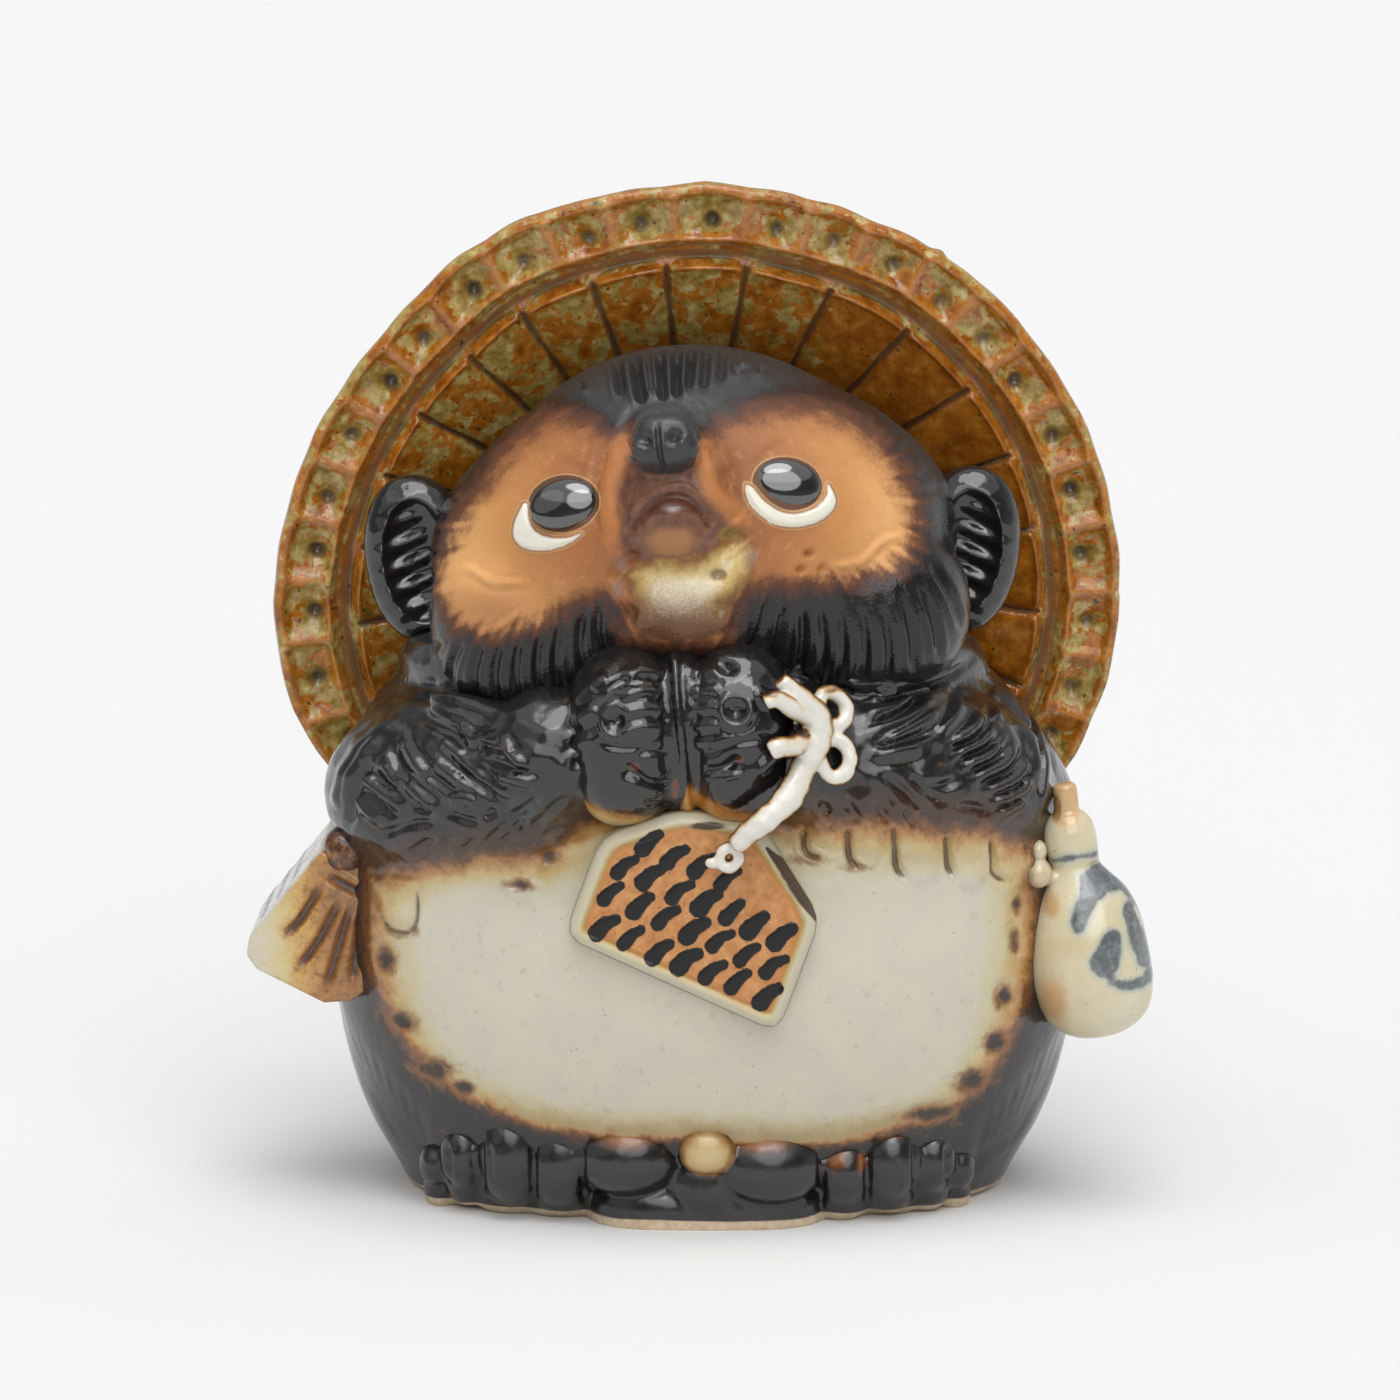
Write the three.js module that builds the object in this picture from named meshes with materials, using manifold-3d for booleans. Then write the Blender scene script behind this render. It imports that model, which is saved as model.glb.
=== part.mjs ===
// Tanuki (raccoon dog) figure in glazed stoneware, cast and fired as one piece.
// It looks up at the sky with its paws pressed together, a wide straw hat on its back,
// a wish tablet hung from a cord at its paws, an account book on one hip and a sake flask on the other.
// Millimetres. +Z is up, the figure faces -Y and +X is to the right of someone facing it.
// The forms are placed on the body's own upright axis, and the finished solid is then moved
// so that the origin lies on the standing face, under the middle of its bounding box.
import * as THREE from 'three';
import { mergeVertices } from 'three/addons/utils/BufferGeometryUtils.js';
import Module from 'manifold-3d';

const wasm = await Module();
wasm.setup();

// Driving dimensions of the figure
const BODY_SECTION_STEP = 14; // height between the body's sections
const BODY_HALF_WIDTHS = [54, 61, 65.3, 67.3, 67.8, 67, 61, 49, 31];
const BODY_FRONTS = [29.5, 38, 44, 47, 47.5, 45.5, 42, 36, 26];
const BODY_BACKS = [36, 41, 43, 42, 39, 35.5, 31, 27, 20];
const BODY_SQUARENESS = 2.2; // 2 is an oval section, more is squarer
const BODY_X = 1;

const BELLY_EDGE = { x: 1.5, z: 43.5, halfWidth: 56, halfHeight: 27, squareness: 2.1 };
const TUFT = { length: 6, width: 3.8, height: 2.6, pitch: 9.5 };
const UNDER_ARM = { from: 20, to: 50, pitch: 7.2, z: 67.5, fall: 0.08, radii: [3.5, 2.6, 4.6] };

const ARM = { at: [35, -21, 78.7], radii: [33.2, 24, 18.2], turn: 31, droop: 14 };
const PAW = { at: [9.4, -43.5, 89], radii: [10.1, 14, 15.6], squareness: 2.5 };
const PAW_SEAM_X = -3;

const HEAD = { at: [-1.2, -12, 119.3], radii: [46.7, 39, 33.8] };
const NAPE = { at: [0, 11, 114], radii: [36, 22.5, 28] };
const CHEEK = { at: [25.5, -25.5, 108], radii: [21.8, 20, 16.5], folds: 14, foldDepth: 0.06 };
const COLLAR = { at: [1, -6, 96], halfWidth: 47, halfDepth: 34, tube: 5.5, tilt: -9 };
const MUZZLE = { at: [-4.7, -41.5, 129], radii: [13.5, 15, 17], tilt: -22 };
const NOSE = { at: [-6.2, -52.6, 139.6], radii: [6.6, 4.6, 5] };
const MOUTH = { at: [-5.3, -58, 127.6], radii: [4.6, 5, 3.6] };
const LIP = { at: [-4.8, -50.4, 121.5], radii: [6.8, 5, 6] };
const CHIN = { at: [-1.2, -43, 114], radii: [13.5, 10, 12] };
// The face leans a little to one side, so one eye is higher than the other.
// The pupil is raised above the white, and set higher on it, so that the figure looks up.
const EYES = { middle: MUZZLE.at[0], height: 130, spread: 19.3, rise: 2.1, tilt: -20, turn: 28 };
const EYE = { white: [8.4, 2.6, 6.6], pupil: [6.3, 3.2, 4.9], lookUp: 3, bulge: 0.8 };

const EAR = { at: [48.5, -7, 115.5], shift: -1.4, rise: 0.8, tilt: 8, radii: [9.6, 6.5, 15] };
const EAR_CUP = { radii: [6, 6, 10.2], forward: 6.5, outward: 1.6 };

const HAT_RADIUS = 76.8;
const HAT_CENTRE = [0, 13, 104.8];
const HAT_LEAN = 9.7; // the rim's top comes forward
const HAT_YAW = 3.2;
const RIM_DIMPLE_DEPTH = 1.6;
const RIM_SCALLOP = 0.8;
const HAT_PANELS = 27;
const PANEL_GROOVE = 1;

const TABLET = { width: 36, side: 18, roof: 10, thickness: 3.2, at: [-4.6, 47.8], tilt: -22.5 };
const CORD_RADIUS = 1.7;
const CORD_BACK = -43.5; // the bow lies no deeper than this

const BOOK_FRONT = -21;
const BOOK_DEPTH = 30;
const FLASK = { at: [70.4, -19, 29.4], lean: 6, radius: 11.4 };

const DEGREE = Math.PI / 180;

function solidOf(geometry) {
  geometry.deleteAttribute('normal');
  geometry.deleteAttribute('uv');
  const merged = mergeVertices(geometry, 1e-4);
  return new wasm.Manifold(new wasm.Mesh({
    numProp: 3,
    vertProperties: new Float32Array(merged.attributes.position.array),
    triVerts: new Uint32Array(merged.index.array),
  }));
}

function geometryOf(solid) {
  const mesh = solid.getMesh();
  const geometry = new THREE.BufferGeometry();
  geometry.setAttribute('position', new THREE.BufferAttribute(mesh.vertProperties, 3));
  geometry.setIndex(new THREE.BufferAttribute(mesh.triVerts, 1));
  return geometry;
}

function join(solids) {
  return solids.reduce((whole, piece) => whole.add(piece));
}

function reshape(geometry, move) {
  const places = geometry.attributes.position;
  const point = new THREE.Vector3();
  for (let index = 0; index < places.count; index += 1) {
    point.fromBufferAttribute(places, index);
    move(point, index);
    places.setXYZ(index, point.x, point.y, point.z);
  }
  return geometry;
}

// A rounded form: a ball scaled to its three radii, with its poles at the front, the sides or the top.
// carve may move the points of the unit ball first, and turn is in degrees about X, Y and Z.
function pebble({ at, radii, turn = [0, 0, 0], around, rings, squareness = 2, poles = 'front', carve }) {
  const ball = new THREE.SphereGeometry(1, around, rings);
  if (poles === 'side') ball.rotateZ(90 * DEGREE);
  if (poles === 'top') ball.rotateX(90 * DEGREE);
  reshape(ball, (point) => {
    const powers = [point.x, point.y, point.z].map((v) => Math.abs(v) ** squareness);
    point.divideScalar((powers[0] + powers[1] + powers[2]) ** (1 / squareness));
    if (carve) carve(point);
  });
  ball.scale(...radii);
  const spin = new THREE.Euler(turn[0] * DEGREE, turn[1] * DEGREE, turn[2] * DEGREE);
  ball.applyMatrix4(new THREE.Matrix4().makeRotationFromEuler(spin));
  ball.translate(...at);
  return solidOf(ball);
}

function mirrored(at, side) {
  return [at[0] * side, at[1], at[2]];
}

// A smooth value between evenly spaced ones
function between(values, place) {
  const last = values.length - 1;
  const index = Math.min(Math.floor(place), last - 1);
  const t = place - index;
  const [a, b, c, d] = [-1, 0, 1, 2].map((step) => values[Math.min(Math.max(index + step, 0), last)]);
  return b + 0.5 * t * (c - a + t * (2 * a - 5 * b + 4 * c - d + t * (3 * (b - c) + d - a)));
}

// Trunk: a sack with a flat foot, wide at the hips and drawn in at the neck
function trunk() {
  const sections = BODY_HALF_WIDTHS.length - 1;
  const sectionsPerRing = 1;
  const profile = [new THREE.Vector2(0, 0)];
  for (let place = 0; place <= sections; place += sectionsPerRing) {
    profile.push(new THREE.Vector2(1, place));
  }
  profile.push(new THREE.Vector2(0, sections));
  const sack = new THREE.LatheGeometry(profile, 32);
  reshape(sack, (point) => {
    const place = point.y;
    const ring = Math.hypot(point.x, point.z);
    if (ring > 0) {
      const side = point.x / ring;
      const face = point.z / ring;
      const power = Math.abs(side) ** BODY_SQUARENESS + Math.abs(face) ** BODY_SQUARENESS;
      const reach = ring * power ** (-1 / BODY_SQUARENESS);
      const depth = between(face > 0 ? BODY_FRONTS : BODY_BACKS, place);
      point.set(side * reach * between(BODY_HALF_WIDTHS, place), -face * reach * depth, 0);
    }
    point.x += BODY_X;
    point.z = place * BODY_SECTION_STEP;
  });
  return solidOf(sack);
}

// Arms: each wraps round the chest from the shoulder, its elbow hanging lower than its paw
function arm(side) {
  return pebble({
    at: mirrored(ARM.at, side),
    radii: ARM.radii,
    turn: [0, ARM.droop * side, ARM.turn * side],
    around: 14,
    rings: 10,
    squareness: 2.3,
    poles: 'side',
  });
}

function paw(side) {
  const at = [PAW_SEAM_X + PAW.at[0] * side, PAW.at[1], PAW.at[2]];
  return pebble({ at, radii: PAW.radii, around: 12, rings: 8, squareness: PAW.squareness });
}

// Face: a round skull with ruffs of folded fur under the cheeks, an upturned muzzle
// and eyes that look up
function cheek(side) {
  const folded = (point) => {
    const fold = Math.cos(Math.atan2(point.y, point.x) * CHEEK.folds);
    const lowness = Math.min(Math.max(0.4 - point.z, 0), 1);
    const spread = 1 + CHEEK.foldDepth * fold * lowness;
    point.x *= spread;
    point.y *= spread;
  };
  return pebble({
    at: [CHEEK.at[0] * side, CHEEK.at[1], CHEEK.at[2] + side],
    radii: CHEEK.radii,
    around: CHEEK.folds * 2,
    rings: 7,
    poles: 'top',
    carve: folded,
  });
}

function eye(side) {
  const x = EYES.middle + side * EYES.spread;
  const z = EYES.height + side * EYES.rise;
  const across = (x - HEAD.at[0]) / HEAD.radii[0];
  const above = (z - HEAD.at[2]) / HEAD.radii[2];
  const y = HEAD.at[1] - HEAD.radii[1] * Math.sqrt(1 - across ** 2 - above ** 2);
  const shape = { turn: [EYES.tilt, 0, side * EYES.turn], around: 10, rings: 6 };
  const white = pebble({ at: [x, y, z - EYE.lookUp / 2], radii: EYE.white, ...shape });
  const pupil = pebble({ at: [x, y - EYE.bulge, z + EYE.lookUp / 2], radii: EYE.pupil, ...shape });
  return white.add(pupil);
}

function ear(side) {
  const [x, y, z] = mirrored(EAR.at, side);
  const at = [x + EAR.shift, y, z + side * EAR.rise];
  const turn = [0, side * EAR.tilt, 0];
  const shell = pebble({ at, radii: EAR.radii, turn, around: 12, rings: 6 });
  const cupAt = [at[0] + side * EAR_CUP.outward, y - EAR_CUP.forward, at[2]];
  const cup = pebble({ at: cupAt, radii: EAR_CUP.radii, around: 10, rings: 6 });
  return shell.subtract(cup);
}

function head() {
  const skull = pebble({ ...HEAD, around: 22, rings: 12 });
  const nape = pebble({ ...NAPE, around: 8, rings: 6 });
  const muzzle = pebble({ ...MUZZLE, turn: [MUZZLE.tilt, 0, 0], around: 12, rings: 8 });
  const nose = pebble({ ...NOSE, around: 10, rings: 6, squareness: 2.4 });
  const mouth = pebble({ ...MOUTH, around: 8, rings: 6 });
  const lip = pebble({ ...LIP, around: 8, rings: 6 });
  const chin = pebble({ ...CHIN, around: 10, rings: 6 });
  const face = join([skull, nape, cheek(-1), cheek(1), muzzle, nose, chin, eye(-1), eye(1)]);
  return join([face.subtract(mouth), lip, ear(-1), ear(1)]);
}

function collar() {
  const roll = new THREE.TorusGeometry(COLLAR.halfWidth, COLLAR.tube, 6, 20);
  roll.scale(1, COLLAR.halfDepth / COLLAR.halfWidth, 1);
  roll.rotateX(COLLAR.tilt * DEGREE);
  roll.translate(...COLLAR.at);
  return solidOf(roll);
}

// Hat: a straw hat worn on the back, hollow side to the front.
// Its rim is a band pinched into dimples, and its inner face is made of radial panels.
// The dimples and panels are spaced by the lathe's segments: a pit on every second one,
// and a groove between panels on every third.
function hat() {
  const segmentsPerPanel = 3;
  // radius as a share of the rim's, depth behind the rim's plane, depths of dimple and groove
  const rings = [
    [0, 25, 0, 0],
    [0.805, 0.9, 0, PANEL_GROOVE],
    [0.82, 2.2, 0, 0],
    [0.85, -1.2, 0.2, 0],
    [0.91, -0.7, RIM_DIMPLE_DEPTH, 0],
    [0.99, -0.8, 0, 0],
    [1, 1, 0, 0],
    [0.98, 3.2, 0, 0],
    [0.78, 8.6, 0, -PANEL_GROOVE * 0.7],
    [0.55, 16.4, 0, -PANEL_GROOVE],
    [0, 28.5, 0, 0],
  ];
  const profile = rings.map(([share, depth]) => new THREE.Vector2(share * HAT_RADIUS, depth));
  const straw = new THREE.LatheGeometry(profile, HAT_PANELS * segmentsPerPanel);
  reshape(straw, (point, index) => {
    const [share, , dimple, groove] = rings[index % rings.length];
    const segment = Math.floor(index / rings.length) % (HAT_PANELS * segmentsPerPanel);
    const pinched = segment % 2 === 1;
    if (pinched) point.y += dimple;
    if (segment % segmentsPerPanel === 0) point.y += groove;
    if (pinched && share > 0.97) {
      point.x *= 1 - RIM_SCALLOP / HAT_RADIUS;
      point.z *= 1 - RIM_SCALLOP / HAT_RADIUS;
    }
  });
  straw.rotateX(HAT_LEAN * DEGREE);
  straw.rotateZ(HAT_YAW * DEGREE);
  straw.translate(...HAT_CENTRE);
  return solidOf(straw);
}

// Feet: toes along the front of the foot, with the belly's pouch between them
function feet() {
  const toes = [
    { x: -46, y: -19, z: 7.8, radii: [3.6, 5.5, 5.5] },
    { x: -41, y: -22.5, z: 8.6, radii: [4.2, 6, 7] },
    { x: -34.6, y: -26, z: 9.2, radii: [5.2, 7, 8.6] },
    { x: -27, y: -28, z: 8.2, radii: [6, 7, 7.4] },
    { x: 25.5, y: -28.5, z: 7.6, radii: [5.2, 7, 7.2] },
    { x: 33, y: -26.5, z: 8.4, radii: [4.6, 7.5, 8.2] },
    { x: 40, y: -23, z: 8.4, radii: [4.4, 7, 7.8] },
    { x: 46, y: -18, z: 7.4, radii: [3.6, 5.5, 5.2] },
  ].map(({ x, y, z, radii }) => pebble({ at: [x, y, z], radii, around: 8, rings: 6 }));
  const pouch = [
    pebble({ at: [-12.6, -31.5, 9.2], radii: [8.4, 8.5, 8], around: 10, rings: 6 }),
    pebble({ at: [11.5, -30.5, 7.6], radii: [10.6, 9.5, 8.6], around: 12, rings: 6 }),
    pebble({ at: [1.6, -38.5, 14.6], radii: [5.1, 5, 4.2], around: 8, rings: 6, squareness: 2.8 }),
    pebble({ at: [1.4, -19, 0.5], radii: [19.5, 18.5, 11], around: 14, rings: 6 }),
  ];
  const soles = [-34, 35].map((x) => pebble({ at: [x, -13, 0.5], radii: [19, 17.5, 10], around: 12, rings: 4 }));
  const slab = 40;
  const ground = new THREE.BoxGeometry(10 * slab, 10 * slab, slab);
  ground.translate(0, 0, -slab / 2);
  return join([...toes, ...pouch, ...soles]).subtract(solidOf(ground));
}

// A broad tail lies up the middle of the back
function tail() {
  return pebble({ at: [6, 33, 26], radii: [15, 14, 27], turn: [6, 12, 0], around: 12, rings: 6 });
}

// The front of a solid: gives the Y of its nearest face at a place seen from the front
function frontOf(solid) {
  const skin = new THREE.Mesh(geometryOf(solid), new THREE.MeshBasicMaterial({ side: THREE.DoubleSide }));
  const ray = new THREE.Raycaster();
  return (x, z) => {
    ray.set(new THREE.Vector3(x, -200, z), new THREE.Vector3(0, 1, 0));
    return ray.intersectObject(skin)[0].point.y;
  };
}

// Tufts of fur along the edge of the belly
function tufts(front) {
  const { x, z, halfWidth, halfHeight, squareness } = BELLY_EDGE;
  const edge = (angle) => {
    const across = Math.cos(angle);
    const up = Math.sin(angle);
    const reach = (Math.abs(across) ** squareness + Math.abs(up) ** squareness) ** (-1 / squareness);
    return [x + halfWidth * across * reach, z + halfHeight * up * reach];
  };
  const pieces = [];
  for (let x = UNDER_ARM.from; x <= UNDER_ARM.to; x += UNDER_ARM.pitch) {
    const z = UNDER_ARM.z - UNDER_ARM.fall * (x - UNDER_ARM.from);
    pieces.push(pebble({ at: [x, front(x, z), z], radii: UNDER_ARM.radii, around: 6, rings: 4 }));
  }
  const meanRadius = 45;
  const sides = [
    { from: 40, to: -66 },
    { from: 150, to: 236 },
  ];
  for (const { from, to } of sides) {
    const count = Math.round((Math.abs(to - from) * DEGREE * meanRadius) / TUFT.pitch);
    for (let step = 0; step <= count; step += 1) {
      const [px, pz] = edge((from + ((to - from) * step) / count) * DEGREE);
      const outward = Math.atan2(pz - z, px - x) / DEGREE;
      pieces.push(pebble({
        at: [px, front(px, pz), pz],
        radii: [TUFT.length, TUFT.height, TUFT.width],
        turn: [0, -outward, 0],
        around: 6,
        rings: 4,
      }));
    }
  }
  return pieces;
}

// Tablet: a little house-shaped board hung from the cord, leaning on the belly
function tablet(front) {
  const { width, side, roof, thickness, at, tilt } = TABLET;
  const outline = new THREE.Shape([
    new THREE.Vector2(-width / 2, 0),
    new THREE.Vector2(width / 2, 0),
    new THREE.Vector2(width / 2, side),
    new THREE.Vector2(0, side + roof),
    new THREE.Vector2(-width / 2, side),
  ]);
  const backing = 10; // runs back into the belly, so that no gap is left behind the board
  const board = new THREE.ExtrudeGeometry(outline, { depth: thickness + backing, bevelEnabled: false });
  board.rotateZ(tilt * DEGREE);
  board.rotateX(Math.PI / 2);
  const [x, z] = at;
  const y = Math.min(front(x, z), front(x, z + side)) + backing;
  board.translate(x, y, z);
  return solidOf(board);
}

// A round cord along a route
function tube(points, radius, steps) {
  const route = new THREE.CatmullRomCurve3(points.map((place) => new THREE.Vector3(...place)));
  const segmentsPerHalfTurn = 3;
  const section = new THREE.Shape();
  section.absarc(0, 0, radius, 0, Math.PI * 2);
  const settings = { extrudePath: route, steps, curveSegments: segmentsPerHalfTurn, bevelEnabled: false };
  return solidOf(new THREE.ExtrudeGeometry(section, settings));
}

// Cord: a bow beside the paws, its two loops and three tails, and the run down to the tablet
function cord(front) {
  const seat = (x, z, lift = 0.6) => [x, Math.min(front(x, z), CORD_BACK) - lift, z];
  const high = TABLET.thickness + CORD_RADIUS / 2;
  const knot = tube([
    seat(15.6, 98, 1.5), seat(18, 94.5, 1.5), seat(18.4, 88.5, 1.5), seat(16.5, 83.5, 1.5),
  ], CORD_RADIUS * 1.4, 6);
  const run = tube([seat(16.5, 84.5), seat(13, 79.5), seat(9, 75.5, 1), seat(5, 72, high)], CORD_RADIUS, 7);
  const tails = [
    [11.4, 95.5, 16],
    [12.4, 88, -14],
  ].map(([x, z, turn]) => pebble({
    at: seat(x, z), radii: [5, 1.8, 1.9], turn: [0, turn, 20], around: 8, rings: 6,
  }));
  const loops = [
    [22.6, 94.8, 3.3, 12, 0.8],
    [23.9, 86.2, 3.4, -10, 0.8],
    [4.2, 70.4, 1.9, 0, high],
  ].map(([x, z, size, turn, lift]) => {
    const loop = new THREE.TorusGeometry(size, size * 0.38, 5, 10);
    loop.rotateX(Math.PI / 2);
    loop.rotateZ(turn * DEGREE);
    loop.translate(...seat(x, z, lift));
    return solidOf(loop);
  });
  return [knot, run, ...tails, ...loops];
}

// Account book: a stitched stack of folded pages hung on the hip, its page edges to the front.
// The grooves between the pages fan out from the strap that holds them.
function book() {
  const outline = new THREE.Shape();
  outline.moveTo(-54, 60);
  outline.lineTo(-68, 61);
  outline.lineTo(-80, 47.5);
  outline.quadraticCurveTo(-81.6, 45, -79, 43.2);
  outline.lineTo(-67, 37.4);
  outline.quadraticCurveTo(-63.5, 36, -61, 38.5);
  outline.lineTo(-54, 42);
  const settings = { depth: BOOK_DEPTH, curveSegments: 3, bevelEnabled: false };
  const stack = new THREE.ExtrudeGeometry(outline, settings);
  stack.rotateX(Math.PI / 2);
  stack.translate(0, BOOK_FRONT + BOOK_DEPTH, 0);
  const grooves = [20, 34, 48].map((fan) => {
    const groove = new THREE.BoxGeometry(1, 1.6, 26);
    groove.translate(0, 0, -19);
    groove.rotateY(fan * DEGREE);
    groove.translate(-59, BOOK_FRONT, 62);
    return solidOf(groove);
  });
  const strap = pebble({ at: [-63.5, BOOK_FRONT + 2, 62.5], radii: [4.2, 5, 4.4], around: 10, rings: 6 });
  return grooves.reduce((pages, groove) => pages.subtract(groove), solidOf(stack)).add(strap);
}

// Sake flask: a gourd-shaped bottle with a stopper, leaning on the other hip
function flask() {
  const { at, lean, radius } = FLASK;
  const profile = [
    [0, 0],
    [radius * 0.55, 0.8],
    [radius * 0.9, 6],
    [radius, 14],
    [radius * 0.86, 22.5],
    [radius * 0.52, 29.5],
    [radius * 0.42, 32.5],
    [radius * 0.47, 36.5],
    [radius * 0.4, 41.5],
    [radius * 0.22, 44],
    [radius * 0.21, 47.6],
    [0, 48],
  ].map(([r, height]) => new THREE.Vector2(r, height));
  const bottle = new THREE.LatheGeometry(profile, 14);
  bottle.rotateX(Math.PI / 2);
  bottle.rotateY(-lean * DEGREE);
  bottle.translate(...at);
  const bead = pebble({ at: [60.5, -22, 58], radii: [2.8, 3.4, 3], around: 8, rings: 6 });
  return solidOf(bottle).add(bead);
}

function statue() {
  const trunkAndLimbs = join([trunk(), arm(-1), arm(1), paw(-1), paw(1), collar(), feet(), tail()]);
  const figure = join([trunkAndLimbs, head(), hat()]);
  const front = frontOf(figure);
  return join([figure, ...tufts(front), tablet(front), ...cord(front), book(), flask()]);
}

const geometry = geometryOf(statue());
geometry.computeBoundingBox();
const { min, max } = geometry.boundingBox;
geometry.translate(-(min.x + max.x) / 2, -(min.y + max.y) / 2, -min.z);

const stoneware = new THREE.MeshStandardMaterial({ color: 0x2a211c, roughness: 0.2, metalness: 0 });
const tanuki = new THREE.Mesh(geometry, stoneware);
tanuki.name = 'tanuki_statue';

const group = new THREE.Group();
group.add(tanuki);

export default group;
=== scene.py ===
import math
import bpy
import numpy as np
from mathutils import Euler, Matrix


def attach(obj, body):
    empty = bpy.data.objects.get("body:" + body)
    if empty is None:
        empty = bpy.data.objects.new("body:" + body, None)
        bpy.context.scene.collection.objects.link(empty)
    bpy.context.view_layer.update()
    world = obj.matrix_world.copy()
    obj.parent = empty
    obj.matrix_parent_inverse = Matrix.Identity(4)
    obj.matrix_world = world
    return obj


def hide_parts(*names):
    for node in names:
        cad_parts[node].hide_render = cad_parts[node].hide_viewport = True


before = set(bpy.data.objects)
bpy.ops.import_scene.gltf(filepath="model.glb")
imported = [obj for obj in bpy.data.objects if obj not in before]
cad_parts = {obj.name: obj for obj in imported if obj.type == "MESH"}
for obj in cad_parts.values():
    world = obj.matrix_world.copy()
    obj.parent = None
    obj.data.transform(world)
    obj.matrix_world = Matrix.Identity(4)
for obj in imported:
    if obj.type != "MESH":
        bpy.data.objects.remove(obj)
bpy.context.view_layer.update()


# Clay body: the sitting figure itself, cast hollow in a stoneware slip mould with its arms,
# shoulders and tail in one, its fur cut in with a wooden tool, then glazed black with a cream belly.
# Its forms are placed in millimetres on the figure's own upright axis.
upright_axis = np.array([0.305, 5.642, 0.0])


def points(form):
    co = np.empty(len(form.data.vertices) * 3, "f")
    form.data.vertices.foreach_get("co", co)
    return co.reshape(-1, 3).astype(float)


def move(form, co):
    form.data.vertices.foreach_set("co", co.astype("f").ravel())
    form.data.update()


def outward(form):
    facing = np.empty(len(form.data.vertices) * 3, "f")
    form.data.vertex_normals.foreach_get("vector", facing)
    return facing.reshape(-1, 3).astype(float)


def lump(at, radii, turn=(0, 0, 0), squareness=2.0, segments=64):
    """A rounded form of clay: a ball drawn out to three radii, then turned and set in place."""
    bpy.ops.object.select_all(action="DESELECT")
    bpy.ops.mesh.primitive_uv_sphere_add(segments=segments, ring_count=segments // 2, radius=1)
    form = bpy.context.object
    co = points(form)
    co /= (np.abs(co) ** squareness).sum(1, keepdims=True) ** (1 / squareness)
    spin = np.array(Euler([math.radians(a) for a in turn], "ZYX").to_matrix())
    move(form, (co * radii) @ spin.T + at)
    return form


def pick(forms):
    bpy.ops.object.select_all(action="DESELECT")
    for form in forms:
        form.select_set(True)
    bpy.context.view_layer.objects.active = forms[0]


def fuse(forms, name, coarseness, softened):
    """Presses lumps into one skin, meshed as coarsely as asked, and softens the joins between them."""
    pick(forms)
    if len(forms) > 1:
        bpy.ops.object.join()
    skin = bpy.context.object
    skin.name = skin.data.name = name
    remesh = skin.modifiers.new("press", "REMESH")
    remesh.mode = "VOXEL"
    remesh.voxel_size = coarseness
    bpy.ops.object.modifier_apply(modifier=remesh.name)
    sponge(skin, softened)
    return skin


def sponge(skin, passes):
    smooth = skin.modifiers.new("sponge", "SMOOTH")
    smooth.factor = 0.5
    smooth.iterations = passes
    bpy.ops.object.modifier_apply(modifier=smooth.name)


def between(values, place):
    """A smooth value between evenly spaced ones."""
    values = np.asarray(values, float)
    index = np.clip(np.floor(place).astype(int), 0, len(values) - 2)
    t = place - index
    a, b, c, d = (values[np.clip(index + k, 0, len(values) - 1)] for k in (-1, 0, 1, 2))
    return b + 0.5 * t * (c - a + t * (2 * a - 5 * b + 4 * c - d + t * (3 * (b - c) + d - a)))


def flowing(path, pieces=6):
    """A curve drawn smoothly through the points of a path."""
    path = np.asarray(path, float)
    if len(path) < 3:
        return path
    place = np.linspace(0, len(path) - 1, (len(path) - 1) * pieces + 1)
    return np.stack([between(path[:, k], place) for k in range(path.shape[1])], 1)


def along(flat, path):
    """How far each point is from a path, and what share of the path's length it lies at."""
    best = np.full(len(flat), 1e9)
    share = np.zeros(len(flat))
    lengths = np.linalg.norm(np.diff(path, axis=0), axis=1)
    start = 0.0
    for a, b, length in zip(path[:-1], path[1:], lengths):
        t = np.clip(((flat - a) @ (b - a)) / max(length, 1e-6) ** 2, 0, 1)
        off = np.linalg.norm(flat - a - t[:, None] * (b - a), axis=1)
        near = off < best
        best[near] = off[near]
        share[near] = (start + t[near] * length) / lengths.sum()
        start += length
    return best, share


def tooled(flat, cuts, lip=0.3):
    """How far (path, width, depth) cuts sink each point, with the clay pushed up at their sides."""
    sunk = np.zeros(len(flat))
    raised = np.zeros(len(flat))
    for path, width, depth in cuts:
        path = flowing(path)
        low, high = path.min(0) - 2 * width, path.max(0) + 2 * width
        near = np.flatnonzero(((flat > low) & (flat < high)).all(1))
        if not len(near):
            continue
        off, share = along(flat[near], path)
        taper = np.clip(np.minimum(share, 1 - share) * 6, 0.12, 1) ** 0.7
        off /= width / 2
        groove = depth * taper * np.exp(-off**2)
        side = lip * depth * taper * np.exp(-((off - 1.9) ** 2) * 1.6)
        stronger = np.abs(groove) > np.abs(sunk[near])
        sunk[near[stronger]] = groove[stronger]
        stronger = np.abs(side) > np.abs(raised[near])
        raised[near[stronger]] = side[stronger]
    return sunk - raised * (1 - np.clip(np.abs(sunk) / 0.4, 0, 1))


def refine(skin, chosen):
    """Gives the chosen faces a finer skin, to hold finer tooling."""
    skin.data.polygons.foreach_set("select", chosen)
    bpy.ops.object.mode_set(mode="EDIT")
    bpy.ops.mesh.select_mode(type="FACE")
    bpy.ops.object.mode_set(mode="OBJECT")
    skin.data.polygons.foreach_set("select", chosen)
    bpy.ops.object.mode_set(mode="EDIT")
    bpy.ops.mesh.subdivide(number_cuts=1)
    bpy.ops.object.mode_set(mode="OBJECT")


def middles(skin):
    at = np.empty(len(skin.data.polygons) * 3, "f")
    skin.data.polygons.foreach_get("center", at)
    return at.reshape(-1, 3)


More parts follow.
